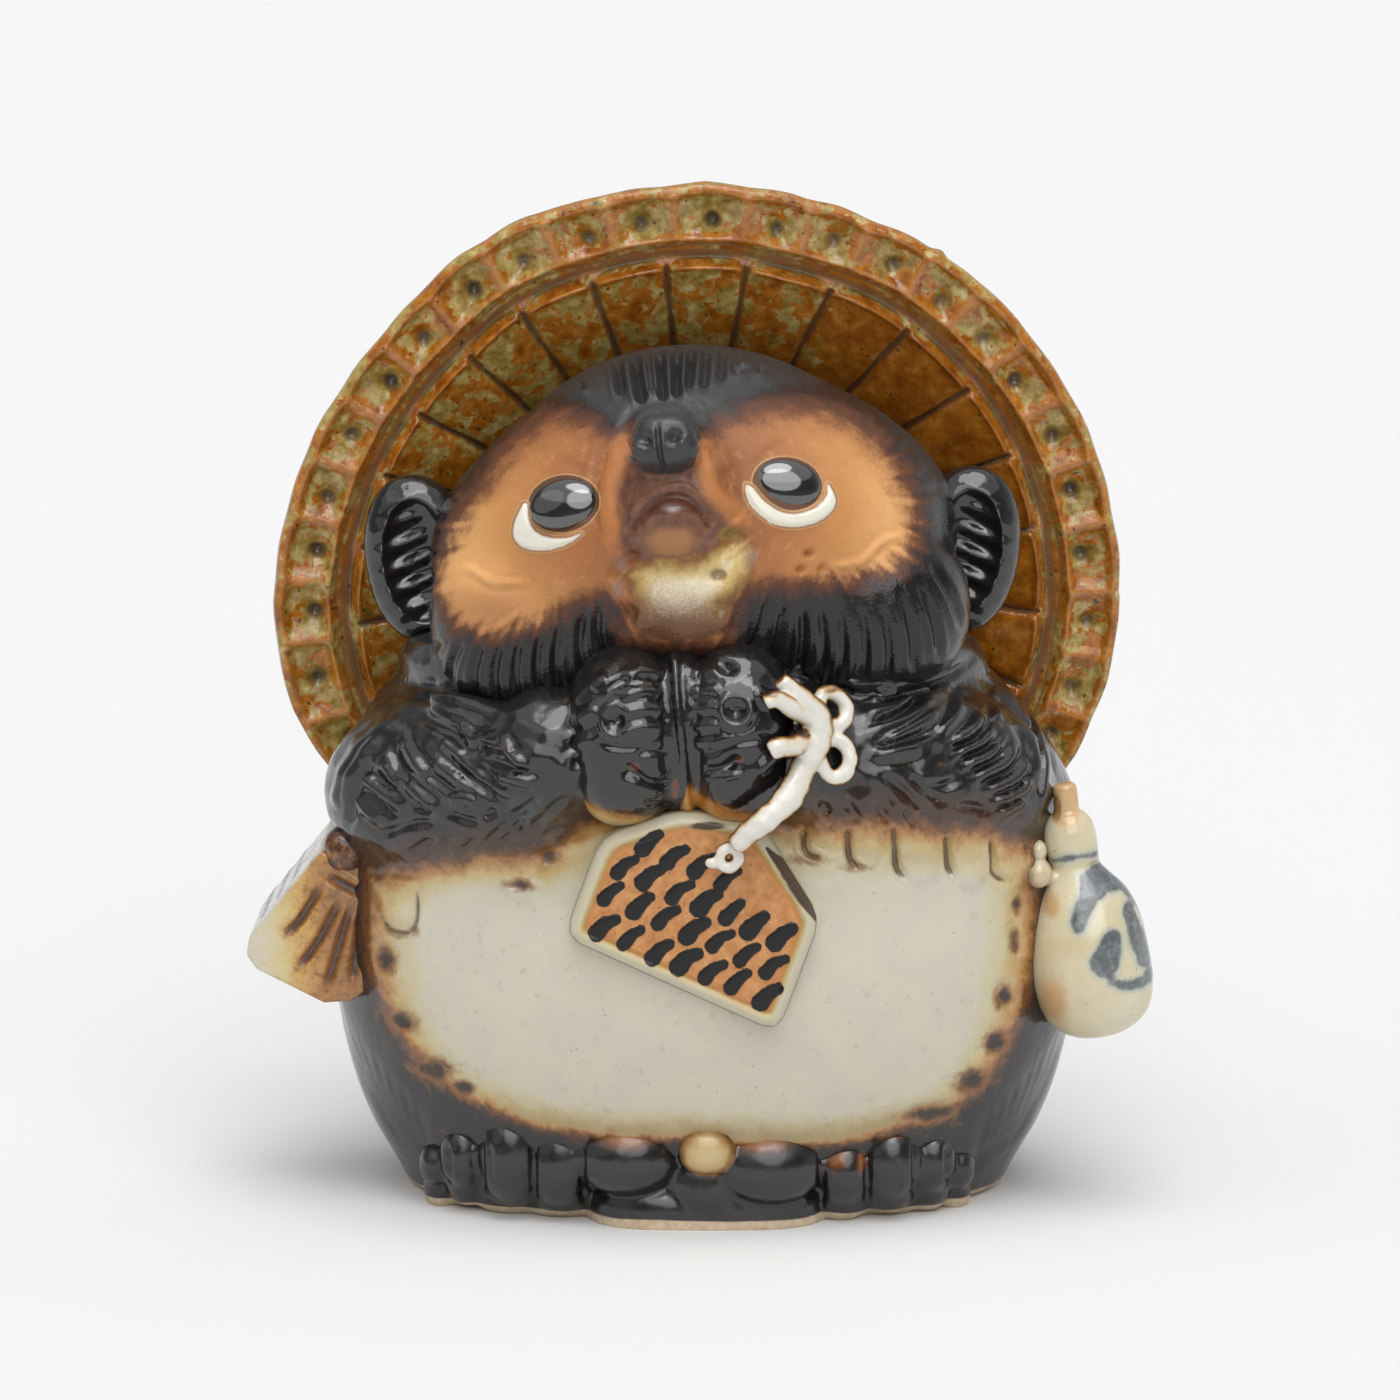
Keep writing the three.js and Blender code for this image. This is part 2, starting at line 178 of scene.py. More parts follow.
def hollows(skin, passes=5):
    """How far each point lies below (plus) or above (minus) the clay around it, in millimetres."""
    ends = np.empty(len(skin.data.edges) * 2, "i")
    skin.data.edges.foreach_get("vertices", ends)
    a, b = ends.reshape(-1, 2).T
    co = points(skin)
    count = np.bincount(a, minlength=len(co)) + np.bincount(b, minlength=len(co))
    soft = co.copy()
    for _ in range(passes):
        ahead = [np.bincount(a, soft[b, k], len(co)) for k in range(3)]
        behind = [np.bincount(b, soft[a, k], len(co)) for k in range(3)]
        total = np.stack(ahead, 1) + np.stack(behind, 1)
        soft = 0.5 * soft + 0.5 * total / np.maximum(count, 1)[:, None]
    return ((soft - co) * outward(skin)).sum(1)


def note(skin, name, values):
    """Writes a measure on the skin, for its glaze to follow."""
    kept = skin.data.attributes.new(name, "FLOAT", "POINT")
    kept.data.foreach_set("value", np.asarray(values, "f"))


def front_view(form):
    """A form's points, the way each faces, and how far across and up each lies."""
    co = points(form)
    return co, outward(form), co[:, [0, 2]]


def sack():
    half_widths = [54, 61, 65.3, 67.3, 67.8, 67, 61, 49, 31]
    fronts = [29.5, 38, 44, 47, 47.5, 45.5, 42, 36, 26]
    backs = [36, 41, 43, 42, 39, 35.5, 31, 27, 20]
    step, squareness = 14, 2.2
    form = lump((0, 0, 0), (1, 1, 1), segments=160)
    co = points(form)
    slope = np.arccos(np.clip(co[:, 2], -1, 1)) / math.pi
    across = np.hypot(co[:, 0], co[:, 1])
    side = co[:, 0] / np.maximum(across, 1e-9)
    face = -co[:, 1] / np.maximum(across, 1e-9)
    foot, top = 0.82, 0.08
    place = np.clip((foot - slope) / (foot - top), 0, 1) * (len(half_widths) - 1)
    ring = np.minimum(np.minimum(slope / top, (1 - slope) / (1 - foot)), 1)
    round_off = np.abs(side) ** squareness + np.abs(face) ** squareness
    reach = ring * np.maximum(round_off, 1e-6) ** (-1 / squareness)
    depth = np.where(face > 0, between(fronts, place), between(backs, place))
    co[:, 0] = side * reach * between(half_widths, place) + np.interp(place, [5, 7], [1, -1.5])
    co[:, 1] = -face * reach * depth
    co[:, 2] = place * step
    move(form, co)
    return form


clay = [
    sack(),
    lump((-35, -21, 78.7), (33.2, 24, 18.2), (0, -14, -31), 2.3),
    lump((32.6, -21, 78.7), (31.4, 24, 18.2), (0, 14, 31), 2.3),
    lump((-25.5, -41.5, 85), (12, 12.6, 12.5)),
    lump((17, -40.5, 85), (10, 11, 12)),
    lump((-38.2, -39.3, 92.3), (11.5, 3.2, 2.8), (0, 11, -35)),
    lump((34.6, -35.2, 98.0), (12.5, 3.0, 2.3), (0, -2, 35)),
]
bpy.ops.object.select_all(action="DESELECT")
bpy.ops.mesh.primitive_torus_add(
    major_radius=1, minor_radius=5.5 / 47, major_segments=96, minor_segments=20
)
collar = bpy.context.object
tilt = np.array(Euler((math.radians(-9), 0, 0)).to_matrix())
move(collar, (points(collar) * (47, 34, 47)) @ tilt.T + (-1.5, -6, 96))
clay.append(collar)
clay.append(lump((6, 33, 26), (15, 14, 27), (6, 12, 0)))
body = fuse(clay, "clay_body", coarseness=0.92, softened=14)
at = middles(body)
arms_low, arms_high, front_half = 60, 104, 4
refine(body, (at[:, 1] < front_half) & (at[:, 2] > arms_low) & (at[:, 2] < arms_high))
sponge(body, 3)

# The fur is drawn stroke by stroke: its ridges on each arm, and the cuts between them.
left_ridges = [
    [(-59.5, 80.1), (-55.8, 78.0), (-52.5, 76.9)],
    [(-60.5, 76.5), (-58.1, 74.2), (-55.4, 72.3)],
    [(-56.0, 77.3), (-53.4, 76.5), (-51.2, 75.0)],
    [(-50.7, 79.8), (-48.4, 77.8), (-45.7, 75.8)],
    [(-46.1, 84.1), (-43.4, 82.5), (-40.7, 80.8)],
    [(-38.9, 82.7), (-34.9, 80.7), (-31.4, 80.0)],
    [(-34.9, 82.9), (-31.4, 82.9), (-27.9, 81.9)],
    [(-43.4, 77.9), (-40.7, 77.9), (-38.1, 77.3)],
    [(-41.8, 90.2), (-39.0, 88.1), (-34.5, 88.8)],
    [(-34.5, 89.2), (-32.7, 87.3), (-30.1, 84.9)],
    [(-54.9, 82.6), (-53.4, 80.3), (-52.0, 79.6)],
    [(-51.3, 86.7), (-50.3, 84.9), (-47.0, 81.5)],
    [(-44.4, 87.6), (-40.7, 85.1)],
    [(-63.6, 71.9), (-62.7, 78.6), (-59.2, 84.6), (-53.8, 88.9)],
    [(-62.0, 73.3), (-61.2, 78.9), (-57.8, 84.5), (-55.1, 87.3)],
    [(-21.3, 90.3), (-16.8, 92.6)],
    [(-21.3, 86.8), (-16.8, 90.0)],
]
left_cuts = [
    [(-55.5, 69.4), (-50.8, 72.2), (-45.7, 73.5)],
    [(-37.2, 75.0), (-35.0, 76.5)],
    [(-32.3, 75.2), (-30.1, 76.9), (-27.5, 79.2)],
    [(-29.3, 72.4), (-26.2, 76.5), (-23.1, 79.6)],
    [(-50.5, 66.8), (-46.3, 70.1)],
    [(-41.0, 68.1), (-38.6, 70.8)],
    [(-44.5, 69.3), (-42.7, 71.0)],
    [(-37.3, 69.4), (-34.6, 72.5), (-32.8, 74.5)],
    [(-34.7, 69.5), (-32.0, 72.6), (-30.2, 75.0)],
    [(-58.4, 78.0), (-55.0, 75.6), (-53.4, 73.6)],
    [(-57.0, 80.9), (-54.4, 79.0), (-52.4, 78.4)],
    [(-47.2, 81.9), (-44.2, 80.2), (-41.6, 78.9)],
    [(-53.6, 85.4), (-51.9, 82.6), (-49.6, 80.9)],
    [(-48.9, 76.3), (-46.6, 74.6)],
    [(-43.9, 75.6), (-40.6, 74.4), (-37.8, 74.0)],
    [(-42.5, 83.9), (-38.5, 81.0), (-34.3, 78.9)],
    [(-36.5, 85.4), (-32.6, 84.6), (-28.9, 83.5)],
    [(-61.6, 70.2), (-59.8, 77.0), (-56.9, 82.8)],
    [(-21.8, 88.6), (-17.0, 91.2)],
    [(-21.9, 85.0), (-18.0, 88.4)],
]
right_ridges = [
    [(29.0, 94.4), (31.8, 95.1), (34.1, 95.9)],
    [(28.0, 92.1), (34.0, 93.4), (37.3, 95.2)],
    [(28.4, 89.6), (34.8, 91.1), (41.0, 93.7)],
    [(31.5, 88.2), (37.0, 90.1), (41.8, 92.0)],
    [(41.2, 88.6), (44.1, 90.8), (45.7, 92.9)],
    [(29.3, 85.8), (34.7, 86.4), (38.4, 86.8)],
    [(43.9, 87.1), (47.2, 88.4), (49.3, 90.3)],
    [(44.3, 85.2), (48.6, 86.4), (51.0, 88.1)],
    [(45.7, 83.2), (49.9, 84.2), (52.1, 85.5)],
    [(47.5, 80.8), (52.7, 82.3), (55.2, 84.9)],
    [(49.9, 78.2), (55.1, 79.8), (57.0, 82.3)],
    [(50.9, 76.0), (56.0, 77.2), (57.7, 79.4)],
    [(51.8, 74.0), (56.6, 75.2)],
    [(50.9, 96.2), (56.5, 90.2), (59.8, 85.8), (60.5, 81.0), (60.0, 73.9)],
    [(48.9, 97.3), (54.0, 92.1), (56.9, 87.9), (58.5, 83.1), (59.0, 76.0)],
    [(51.6, 92.0), (52.2, 90.5), (51.8, 88.9)],
]
right_cuts = [
    [(31.1, 82.9), (35.2, 79.5), (37.9, 76.1)],
    [(36.0, 82.2), (38.8, 79.5), (41.6, 77.2)],
    [(37.9, 80.6), (41.5, 80.0), (44.3, 80.6)],
    [(44.3, 76.4), (47.6, 75.5), (50.4, 74.3)],
    [(25.3, 77.9), (27.5, 74.1)],
    [(29.7, 78.4), (33.0, 73.5)],
    [(20.8, 77.8), (22.1, 75.7)],
    [(35.2, 76.3), (37.1, 72.8)],
    [(46.5, 82.0), (50.6, 83.2), (53.2, 84.7)],
    [(48.6, 79.6), (53.6, 81.0), (55.8, 83.2)],
    [(50.6, 77.2), (55.4, 78.4), (57.2, 80.8)],
    [(44.9, 84.3), (49.3, 85.3), (51.4, 86.6)],
    [(43.2, 86.1), (47.9, 87.3), (50.2, 89.0)],
    [(30.0, 91.1), (34.4, 92.2), (38.6, 94.4)],
    [(30.6, 87.2), (36.0, 88.4), (40.2, 89.6)],
    [(55.0, 92.6), (58.2, 87.4), (59.5, 82.2), (59.5, 75.0)],
    [(51.6, 75.0), (56.4, 76.2)],
]
# Soft lobes under the right arm, parted by curved cuts, over the cream belly.
lobe_cuts = [
    [(17.9, 72.7), (18.2, 69.0), (20.9, 67.4)],
    [(25.3, 73.1), (25.6, 67.9), (27.7, 65.6)],
    [(33.4, 73.5), (33.8, 66.2), (35.7, 63.3)],
    [(42.6, 70.9), (43.0, 65.6), (44.0, 63.1)],
    [(50.6, 69.0), (51.0, 63.3), (53.2, 60.9)],
    [(56.8, 66.9), (57.3, 62.3), (58.5, 58.3)],
    [(-56.9, 55.1), (-54.3, 52.2), (-50.6, 52.6), (-49.5, 56.0), (-49.7, 60.4)],
]
ridge_width, ridge_height = 1.9, 0.85
cut_width, cut_depth = 1.5, 0.8
lobe_cut_width, lobe_cut_depth = 1.15, 1.2
cuts = [(path, ridge_width, -ridge_height) for path in left_ridges + right_ridges]
cuts += [(path, cut_width, cut_depth) for path in left_cuts + right_cuts]
cuts += [(path, lobe_cut_width, lobe_cut_depth) for path in lobe_cuts]
# Rolls of the collar under the cheeks.
cuts += [
    ([(-49.0, 91.0), (-42.7, 89.0), (-36, 87.6), (-30, 87.4)], 1.8, 0.7),
    ([(27.7, 95.3), (35.1, 94.8), (42.1, 95.8), (47.4, 98.0)], 1.6, 0.8),
    ([(27.0, 98.6), (35.1, 98.4), (43.0, 99.8)], 1.2, 0.6),
]
# Faint long cuts down the flanks.
for k in range(7):
    left_flank = [(-66 + 2.6 * k, 36 - 2.5 * k), (-61 + 2.2 * k, 24 - 2.4 * k), (-52 + 1.6 * k, 9)]
    right_flank = [(67 - 2.6 * k, 34 - 2.5 * k), (62 - 2.2 * k, 22 - 2.4 * k), (54 - 1.6 * k, 8)]
    cuts += [(left_flank, 2.4, 0.3), (right_flank, 2.4, 0.35)]
belly_rim = np.array([
    (-57.6, 60), (-57.9, 49.5), (-56.3, 42.5), (-53.4, 34.6), (-48.4, 28.6), (-42.4, 24.0), (-34.5, 20.4),
    (-24.5, 17.9), (-10.5, 16.6), (0, 16.8), (14, 15.2), (26.3, 15.9), (35.1, 17.6), (43.9, 20.6),
    (50.1, 26.2), (54.5, 33.1), (57.1, 41.9), (58.3, 51.7), (57.8, 60.6),
])
belly_top = np.array([
    (-60, 59), (-57.8, 59.7), (-49.3, 63.5), (-43.9, 65.1), (-37.5, 67.3), (-30.4, 66.9), (-23.7, 70.5),
    (-18.4, 74), (-2.4, 75.6), (7.5, 75), (12.4, 72.7), (18.2, 74.2), (25.4, 73.6), (30.7, 73.5),
    (37.1, 72.9), (41.7, 71.4), (48.6, 70.7), (53.4, 68.5), (56.9, 66.4), (60, 65),
])
pits = np.array([
    (-55.0, 46.4, 1.8, 3), (-52.4, 35.6, 3.0, 2.0), (-46.6, 27.2, 3.8, 2.6), (-41.6, 24.6, 2.2, 1.6),
    (-26, 67.6, 1.6, 1.3), (-31.0, 62.4, 2.4, 1.1),
    (55.5, 56.5, 0.9, 1.8), (55.2, 50.0, 0.9, 2.6), (53.3, 40.5, 1.9, 2.2), (52.0, 32.0, 2.7, 2.4),
    (47.6, 25.2, 3.2, 2.5), (40.4, 19.8, 5.4, 1.9),
])
smudges = [
    (18.0, 67.4, 6.5, 1.5), (27.0, 66.0, 4.4, 1.2), (57.0, 60.5, 1.2, 4.0), (-53.2, 51.8, 3.2, 1.3),
    (-57.0, 56.6, 1.8, 3.4), (-49.6, 52.6, 1.4, 1.2), (-52.4, 62.2, 4.0, 1.4),
]


def inside(flat, rim, top):
    """How far inside the belly's edge each point is, in millimetres; outside it is minus."""
    rim = flowing(rim)
    off, _ = along(flat, rim)
    around = np.vstack([rim, [(rim[-1, 0], 200), (rim[0, 0], 200)]])
    within = np.zeros(len(flat), bool)
    for (x0, z0), (x1, z1) in zip(around, np.roll(around, -1, 0)):
        crossing = (z0 > flat[:, 1]) != (z1 > flat[:, 1])
        within ^= crossing & (flat[:, 0] < x0 + (flat[:, 1] - z0) * (x1 - x0) / ((z1 - z0) or 1e-9))
    edge = np.where(within, off, -off)
    above = (flat[:, 1] > 60) & ~within
    edge[above] = -np.abs(np.abs(flat[above, 0]) - 57.7)
    return np.minimum(edge, np.interp(flat[:, 0], top[:, 0], top[:, 1]) - flat[:, 1])


def rising(value, start, full):
    """0 up to the start, 1 from full on, and even between."""
    return np.clip((value - start) / (full - start), 0, 1)


def swell(off, width):
    """1 along the middle of a mark, falling smoothly away to its sides."""
    return np.exp(-((off / width) ** 2))


def sinks(flat, places):
    """Soft round hollows: (across, up, half width, half height), each 1 at its middle."""
    deep = np.zeros(len(flat))
    for x, z, wide, high in places:
        r = np.hypot((flat[:, 0] - x) / wide, (flat[:, 1] - z) / high)
        deep = np.maximum(deep, np.exp(-(r**2)))
    return deep


co, facing, flat = front_view(body)
x, z = flat.T
seen = np.clip((-facing[:, 1] - 0.02) * 6, 0, 1) * (co[:, 1] < front_half)
belly = inside(flat, belly_rim, belly_top)
sunk = tooled(flat, cuts)
pit_depth = 0.9
sunk += pit_depth * sinks(flat, pits)
furry = rising(-belly, 1, 5) * rising(z, 64, 70)
sunk -= furry * 0.22 * np.sin(x * 0.55 + 0.5 * z) * np.sin(z * 0.72 - 0.25 * x)
sunk -= furry * 0.18 * np.sin(x * 0.7 - 0.5 * z + 2)
welt = swell(belly - 0.3, 1.1) * (z < 62)
sunk -= 0.45 * welt * (0.6 + 0.4 * np.sin(x * 0.9) * np.sin(z * 0.8))
lobes = np.zeros(len(flat))
for left, right in zip(lobe_cuts[:-2], lobe_cuts[1:-1]):
    middle = [(a + b) / 2 for a, b in zip(left[1], right[1])]
    r = np.hypot((x - middle[0]) / 3.5, (z - middle[1] - 1) / 4.6)
    lobes = np.maximum(lobes, np.exp(-1.1 * r**4))
lobes = np.maximum(lobes, sinks(flat, [(-52.8, 56.4, 3.0, 4.2)]))
lobe_height = 1.4
sunk -= lobe_height * lobes
co -= facing * (sunk * seen)[:, None]
move(body, co)
sponge(body, 1)
co = points(body)
co[:, 2] = np.maximum(co[:, 2], 0)
move(body, co)
flat = co[:, [0, 2]]
x, z = flat.T
belly = np.where(outward(body)[:, 1] < 0.15, inside(flat, belly_rim, belly_top), -20)
note(body, "belly", np.clip(belly, -20, 20))
note(body, "low", rising(z, 26, 18))
at_sides = rising(np.abs(x), 44, 50) * rising(z, 18, 24) * 0.8 * (z < 65)
note(body, "broad", rising(z, 61, 65) + at_sides)
note(body, "smudge", sinks(flat, smudges) * (co[:, 1] < 0))
note(body, "hollow", hollows(body) * np.interp(z, [58, 62, 83, 88], [0.4, 1, 1, 0.1]))
note(body, "pits", sinks(flat, pits) * (co[:, 1] < 0))


def add(tree, kind, sockets=(), **settings):
    """One step of a glaze recipe, with its sockets set or wired."""
    step = tree.nodes.new("ShaderNode" + kind)
    for name, value in settings.items():
        setattr(step, name, value)
    for key, value in dict(sockets).items():
        if isinstance(value, bpy.types.NodeSocket):
            tree.links.new(value, step.inputs[key])
        else:
            step.inputs[key].default_value = value
    return step


def measure(tree, name):
    return add(tree, "Attribute", attribute_name=name).outputs["Fac"]


def grain(tree, size, detail=2.0, rough=0.5):
    """Unevenness of the given size in millimetres, about 0.5 and fixed to the clay."""
    place = add(tree, "TexCoord").outputs["Object"]
    noise = {"Vector": place, "Scale": 1000 / size, "Detail": detail, "Roughness": rough}
    return add(tree, "TexNoise", noise).outputs["Fac"]


def sums(tree, kind, a, b):
    return add(tree, "Math", {0: a, 1: b}, operation=kind).outputs[0]


def shifted(tree, value, unevenness, amount):
    """A measure moved back and forth by an unevenness, by up to the amount either way."""
    swing = sums(tree, "MULTIPLY", sums(tree, "SUBTRACT", unevenness, 0.5), 2 * amount)
    return sums(tree, "ADD", value, swing)


def ragged(tree, name, amount, size, detail=2.0, rough=0.5):
    """A measure written on the skin, made uneven by up to the amount."""
    return shifted(tree, measure(tree, name), grain(tree, size, detail, rough), amount)


def share_of(tree, value, low, high):
    """0 at the low value, 1 at the high one, and smooth between."""
    return add(tree, "MapRange", {0: value, 1: low, 2: high}, interpolation_type="SMOOTHSTEP").outputs[0]


def patches(tree, low, high, size, detail=2.0, rough=0.5):
    """Scattered patches of the given size, as a share."""
    return share_of(tree, grain(tree, size, detail, rough), low, high)


def position(tree, axis=2):
    """Where a point lies on the piece, in metres: up, or across for axis 0."""
    return add(tree, "SeparateXYZ", {0: add(tree, "TexCoord").outputs["Object"]}).outputs[axis]


def graded(tree, value, stops):
    """Colours set out along a measure: (place, colour) stops."""
    low, high = stops[0][0], stops[-1][0]
    place = add(tree, "MapRange", {0: value, 1: low, 2: high}).outputs[0]
    ramp = add(tree, "ValToRGB", {0: place})
    bar = ramp.color_ramp
    while len(bar.elements) < len(stops):
        bar.elements.new(0.5)
    for element, (at, colour) in zip(bar.elements, stops):
        element.position = (at - low) / (high - low)
        element.color = (*colour, 1) if len(colour) == 3 else colour
    return ramp.outputs[0]


def over(tree, below, above, share, strength=1.0):
    """One colour laid over another where the share says, as strongly as asked."""
    if strength != 1.0:
        share = sums(tree, "MULTIPLY", share, strength)
    below, above = ((*c, 1) if isinstance(c, tuple) and len(c) == 3 else c for c in (below, above))
    return add(tree, "Mix", {0: share, 6: below, 7: above}, data_type="RGBA").outputs[2]


def layered(tree, colour, layers):
    """Tones laid over a colour in turn: (tone, measure, where it starts, where it is full, strength)."""
    for tone, value, start, full, strength in layers:
        colour = over(tree, colour, tone, share_of(tree, value, start, full), strength)
    return colour


def level(tree, below, above, share):
    """As over, for plain numbers."""
    return add(tree, "Mix", {0: share, 2: below, 3: above}).outputs[0]


def glaze(name, skins, paint, shine=1.68):
    """A fired surface: paint() gives its colour, roughness and relief, as (height, depth in mm) pairs."""
    material = bpy.data.materials.new(name)
    material.use_nodes = True
    tree = material.node_tree
    surface = tree.nodes["Principled BSDF"]
    colour, roughness, relief = paint(tree)
    tree.links.new(colour, surface.inputs["Base Color"])
    tree.links.new(roughness, surface.inputs["Roughness"])
    surface.inputs["IOR"].default_value = shine
    normal = None
    for height, depth in relief:
        wave = {"Height": height, "Distance": depth / 1000, "Strength": 1.0}
        if normal:
            wave["Normal"] = normal
        normal = add(tree, "Bump", wave).outputs[0]
    tree.links.new(normal, surface.inputs["Normal"])
    for skin in skins:
        skin.data.materials.clear()
        skin.data.materials.append(material)


def black_glaze(tree):
    """Black glaze, thinner and browner where the clay stands up."""
    hollow = ragged(tree, "hollow", 0.03, 2.2, 3)
    return graded(tree, hollow, [
        (-0.55, (0.060, 0.026, 0.014)), (-0.34, (0.026, 0.017, 0.014)),
        (-0.12, (0.016, 0.0150, 0.0145)), (0.2, (0.009, 0.0088, 0.0088)),
    ])


def bare_foot(tree, colour, roughness):
    """The unglazed clay left at the very foot, so the piece does not stick to the kiln shelf."""
    up = sums(tree, "MULTIPLY", position(tree), 1000)
    edge = share_of(tree, shifted(tree, up, grain(tree, 14, 3), 0.55), 1.85, 1.45)
    clay_colour = graded(tree, grain(tree, 1.3, 3), [(0.3, (0.50, 0.38, 0.25)), (0.7, (0.66, 0.53, 0.37))])
    return over(tree, colour, clay_colour, edge), level(tree, roughness, 0.85, edge)


def body_paint(tree):
    black = black_glaze(tree)
    up = position(tree)
    edge = ragged(tree, "belly", 2.2, 3.2, 4, 0.6)
    torn = sums(
        tree, "MULTIPLY", shifted(tree, 0.0, grain(tree, 6, 4, 0.6), 3.2),
        share_of(tree, up, 0.058, 0.064),
    )
    edge = sums(
        tree, "MULTIPLY", sums(tree, "ADD", edge, torn), level(tree, 1.0, 0.52, measure(tree, "broad")),
    )
    edge = shifted(tree, edge, grain(tree, 0.9, 2), 0.4)
    cream = graded(tree, edge, [
        (-3.0, (0.020, 0.011, 0.008)), (-1.3, (0.045, 0.018, 0.009)), (-0.3, (0.17, 0.062, 0.016)),
        (0.5, (0.42, 0.205, 0.062)), (1.7, (0.56, 0.40, 0.175)), (3.2, (0.58, 0.50, 0.30)),
        (6.5, (0.60, 0.555, 0.425)), (11, (0.605, 0.56, 0.445)),
    ])
    cloud = patches(tree, 0.38, 0.68, 9, 3)
    cream = over(
        tree, cream, (0.57, 0.535, 0.445), sums(tree, "MULTIPLY", cloud, share_of(tree, edge, 3, 8)),
    )
    speck = patches(tree, 0.765, 0.80, 1.1, 1)
    cream = over(tree, cream, (0.25, 0.19, 0.11), speck, 0.55)
    olive = sums(tree, "MULTIPLY", measure(tree, "low"), share_of(tree, edge, 6.5, 0.5))
    cream = over(
        tree, cream, (0.36, 0.28, 0.135), sums(tree, "MULTIPLY", olive, share_of(tree, edge, 0.2, 1.6)),
    )
    under_arm = sums(tree, "MULTIPLY", share_of(tree, up, 0.054, 0.062), share_of(tree, edge, -4.6, -1.2))
    black = over(tree, black, (0.055, 0.021, 0.008), under_arm)
    colour = over(tree, black, cream, share_of(tree, edge, -2.4, -0.9))
    dark = ragged(tree, "pits", 0.62, 2.3, 4, 0.65)
    ring = share_of(tree, dark, 0.08, 0.60)
    colour = over(tree, colour, (0.27, 0.11, 0.03), ring, 0.85)
    colour = over(tree, colour, (0.035, 0.020, 0.014), share_of(tree, dark, 0.42, 0.92))
    groove = sums(
        tree, "MULTIPLY", share_of(tree, measure(tree, "hollow"), 0.05, 0.20),
        share_of(tree, edge, -1, 1),
    )
    colour = over(tree, colour, (0.11, 0.055, 0.022), groove, 0.85)
    smudge = share_of(tree, ragged(tree, "smudge", 0.60, 1.6, 5, 0.7), 0.40, 1.00)
    colour = over(
        tree, colour, (0.26, 0.115, 0.035),
        sums(tree, "MULTIPLY", sums(tree, "MULTIPLY", smudge, 0.8), share_of(tree, edge, -1, 1)),
    )
    gloss = level(tree, 0.14, 0.17, share_of(tree, edge, -1, 2))
    gloss = level(tree, gloss, 0.24, patches(tree, 0.35, 0.75, 14, 2))
    gloss = level(tree, gloss, 0.45, share_of(tree, dark, 0.3, 0.6))
    colour, gloss = bare_foot(tree, colour, gloss)
    return colour, gloss, [(grain(tree, 7, 2), 0.35), (grain(tree, 0.8, 2), 0.02)]


glaze("black_and_cream_glaze", [body], body_paint)


def settle(piece, kept=1.0):
    """Moves a finished piece from millimetres to metres, with the given share of its triangles kept."""
    pick([piece])
    if kept < 1:
        thin = piece.modifiers.new("thin", "DECIMATE")
        thin.ratio = kept
        bpy.ops.object.modifier_apply(modifier=thin.name)
    move(piece, (points(piece) + upright_axis) / 1000)
    bpy.ops.object.shade_smooth()
    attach(piece, "root")
    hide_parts("tanuki_statue")


settle(body, kept=0.69)

# Paws: the two forepaws pressed together on the chest, moulded with the body and cut in with
# a fine tool across the fingers, with a thin seam of clay standing up between them.
clay = []
clay.append(lump((-12.8, -43.2, 89), (10.8, 13.6, 15.9), squareness=2.2))
clay.append(lump((6.4, -43.2, 89.4), (10.4, 13.6, 16.3), squareness=2.2))
clay.append(lump((-3.2, -42.5, 90), (6, 12.2, 14.5), squareness=2.4))
paws = fuse(clay, "paws", coarseness=0.42, softened=4)
co, facing, flat = front_view(paws)
seen = np.clip((-facing[:, 1] - 0.02) * 4, 0, 1)
fingers = []
for z in (100.8, 97.8, 94.9, 91.9):
    fingers.append([(-13.2 + 0.1 * z - 10, z - 0.7), (-10.4, z + 0.4), (-7.8, z + 0.1), (-5.8, z - 0.6)])
for z in (100.9, 98.0, 95.1, 92.2, 89.4):
    fingers.append([(-1.4, z - 0.5), (1.2, z + 0.2), (3.6, z + 0.5)])
fingers += [
    [(-21, 92.5), (-17.4, 95.6)], [(-21.5, 88.0), (-18, 90.5)], [(9.5, 84), (13.5, 88)],
    [(9, 98.5), (12.5, 96)], [(-18.5, 98.5), (-15.4, 100.4)],
]
ring_left = [(-14.2 + 2.5 * math.cos(a), 93.4 + 2.7 * math.sin(a)) for a in np.linspace(1.2, 5.9, 12)]
ring_right = [(6.1 + 2.5 * math.cos(a), 95.3 + 2.7 * math.sin(a)) for a in np.linspace(1.9, 7.2, 12)]
cuts = [(path, 2.1, -0.75) for path in fingers]
cuts += [(ring_left, 1.3, -0.7), (ring_right, 1.3, -0.7)]
cuts += [
    ([(-10.8, 87.8), (-7.8, 88.3), (-4.8, 87.2)], 1.1, 0.6),
    ([(-9.5, 79.0), (-4.3, 77.6)], 1.1, 0.5),
    ([(-11.6, 84.6), (-7.3, 82.2), (-3.9, 82.6)], 1.6, 0.9),
    ([(-9.5, 84.0), (-6.9, 83.8), (-4.2, 84.4)], 0.8, -0.5),
    ([(0.4, 84.6), (3.7, 85.2), (6.4, 86.0)], 1.5, 0.8),
    ([(0.2, 83.3), (3.7, 83.4), (7.3, 84.2)], 0.8, -0.5),
    ([(-1.6, 87.8), (4.0, 88.2)], 1.0, 0.4),
    ([(-4.4, 104.4), (-4.1, 97.8), (-3.1, 89.4), (-2.4, 82.3), (-1.9, 76)], 5.0, 1.3),
    ([(-15.6, 98.6), (-11, 100.6), (-6, 99.8)], 1.2, 0.5),
    ([(-17.5, 89.8), (-12, 88.9), (-6, 89.6)], 1.2, 0.45),
    ([(0, 87), (6, 89.6), (11, 90.4)], 1.2, 0.45),
]
sunk = tooled(flat, cuts)
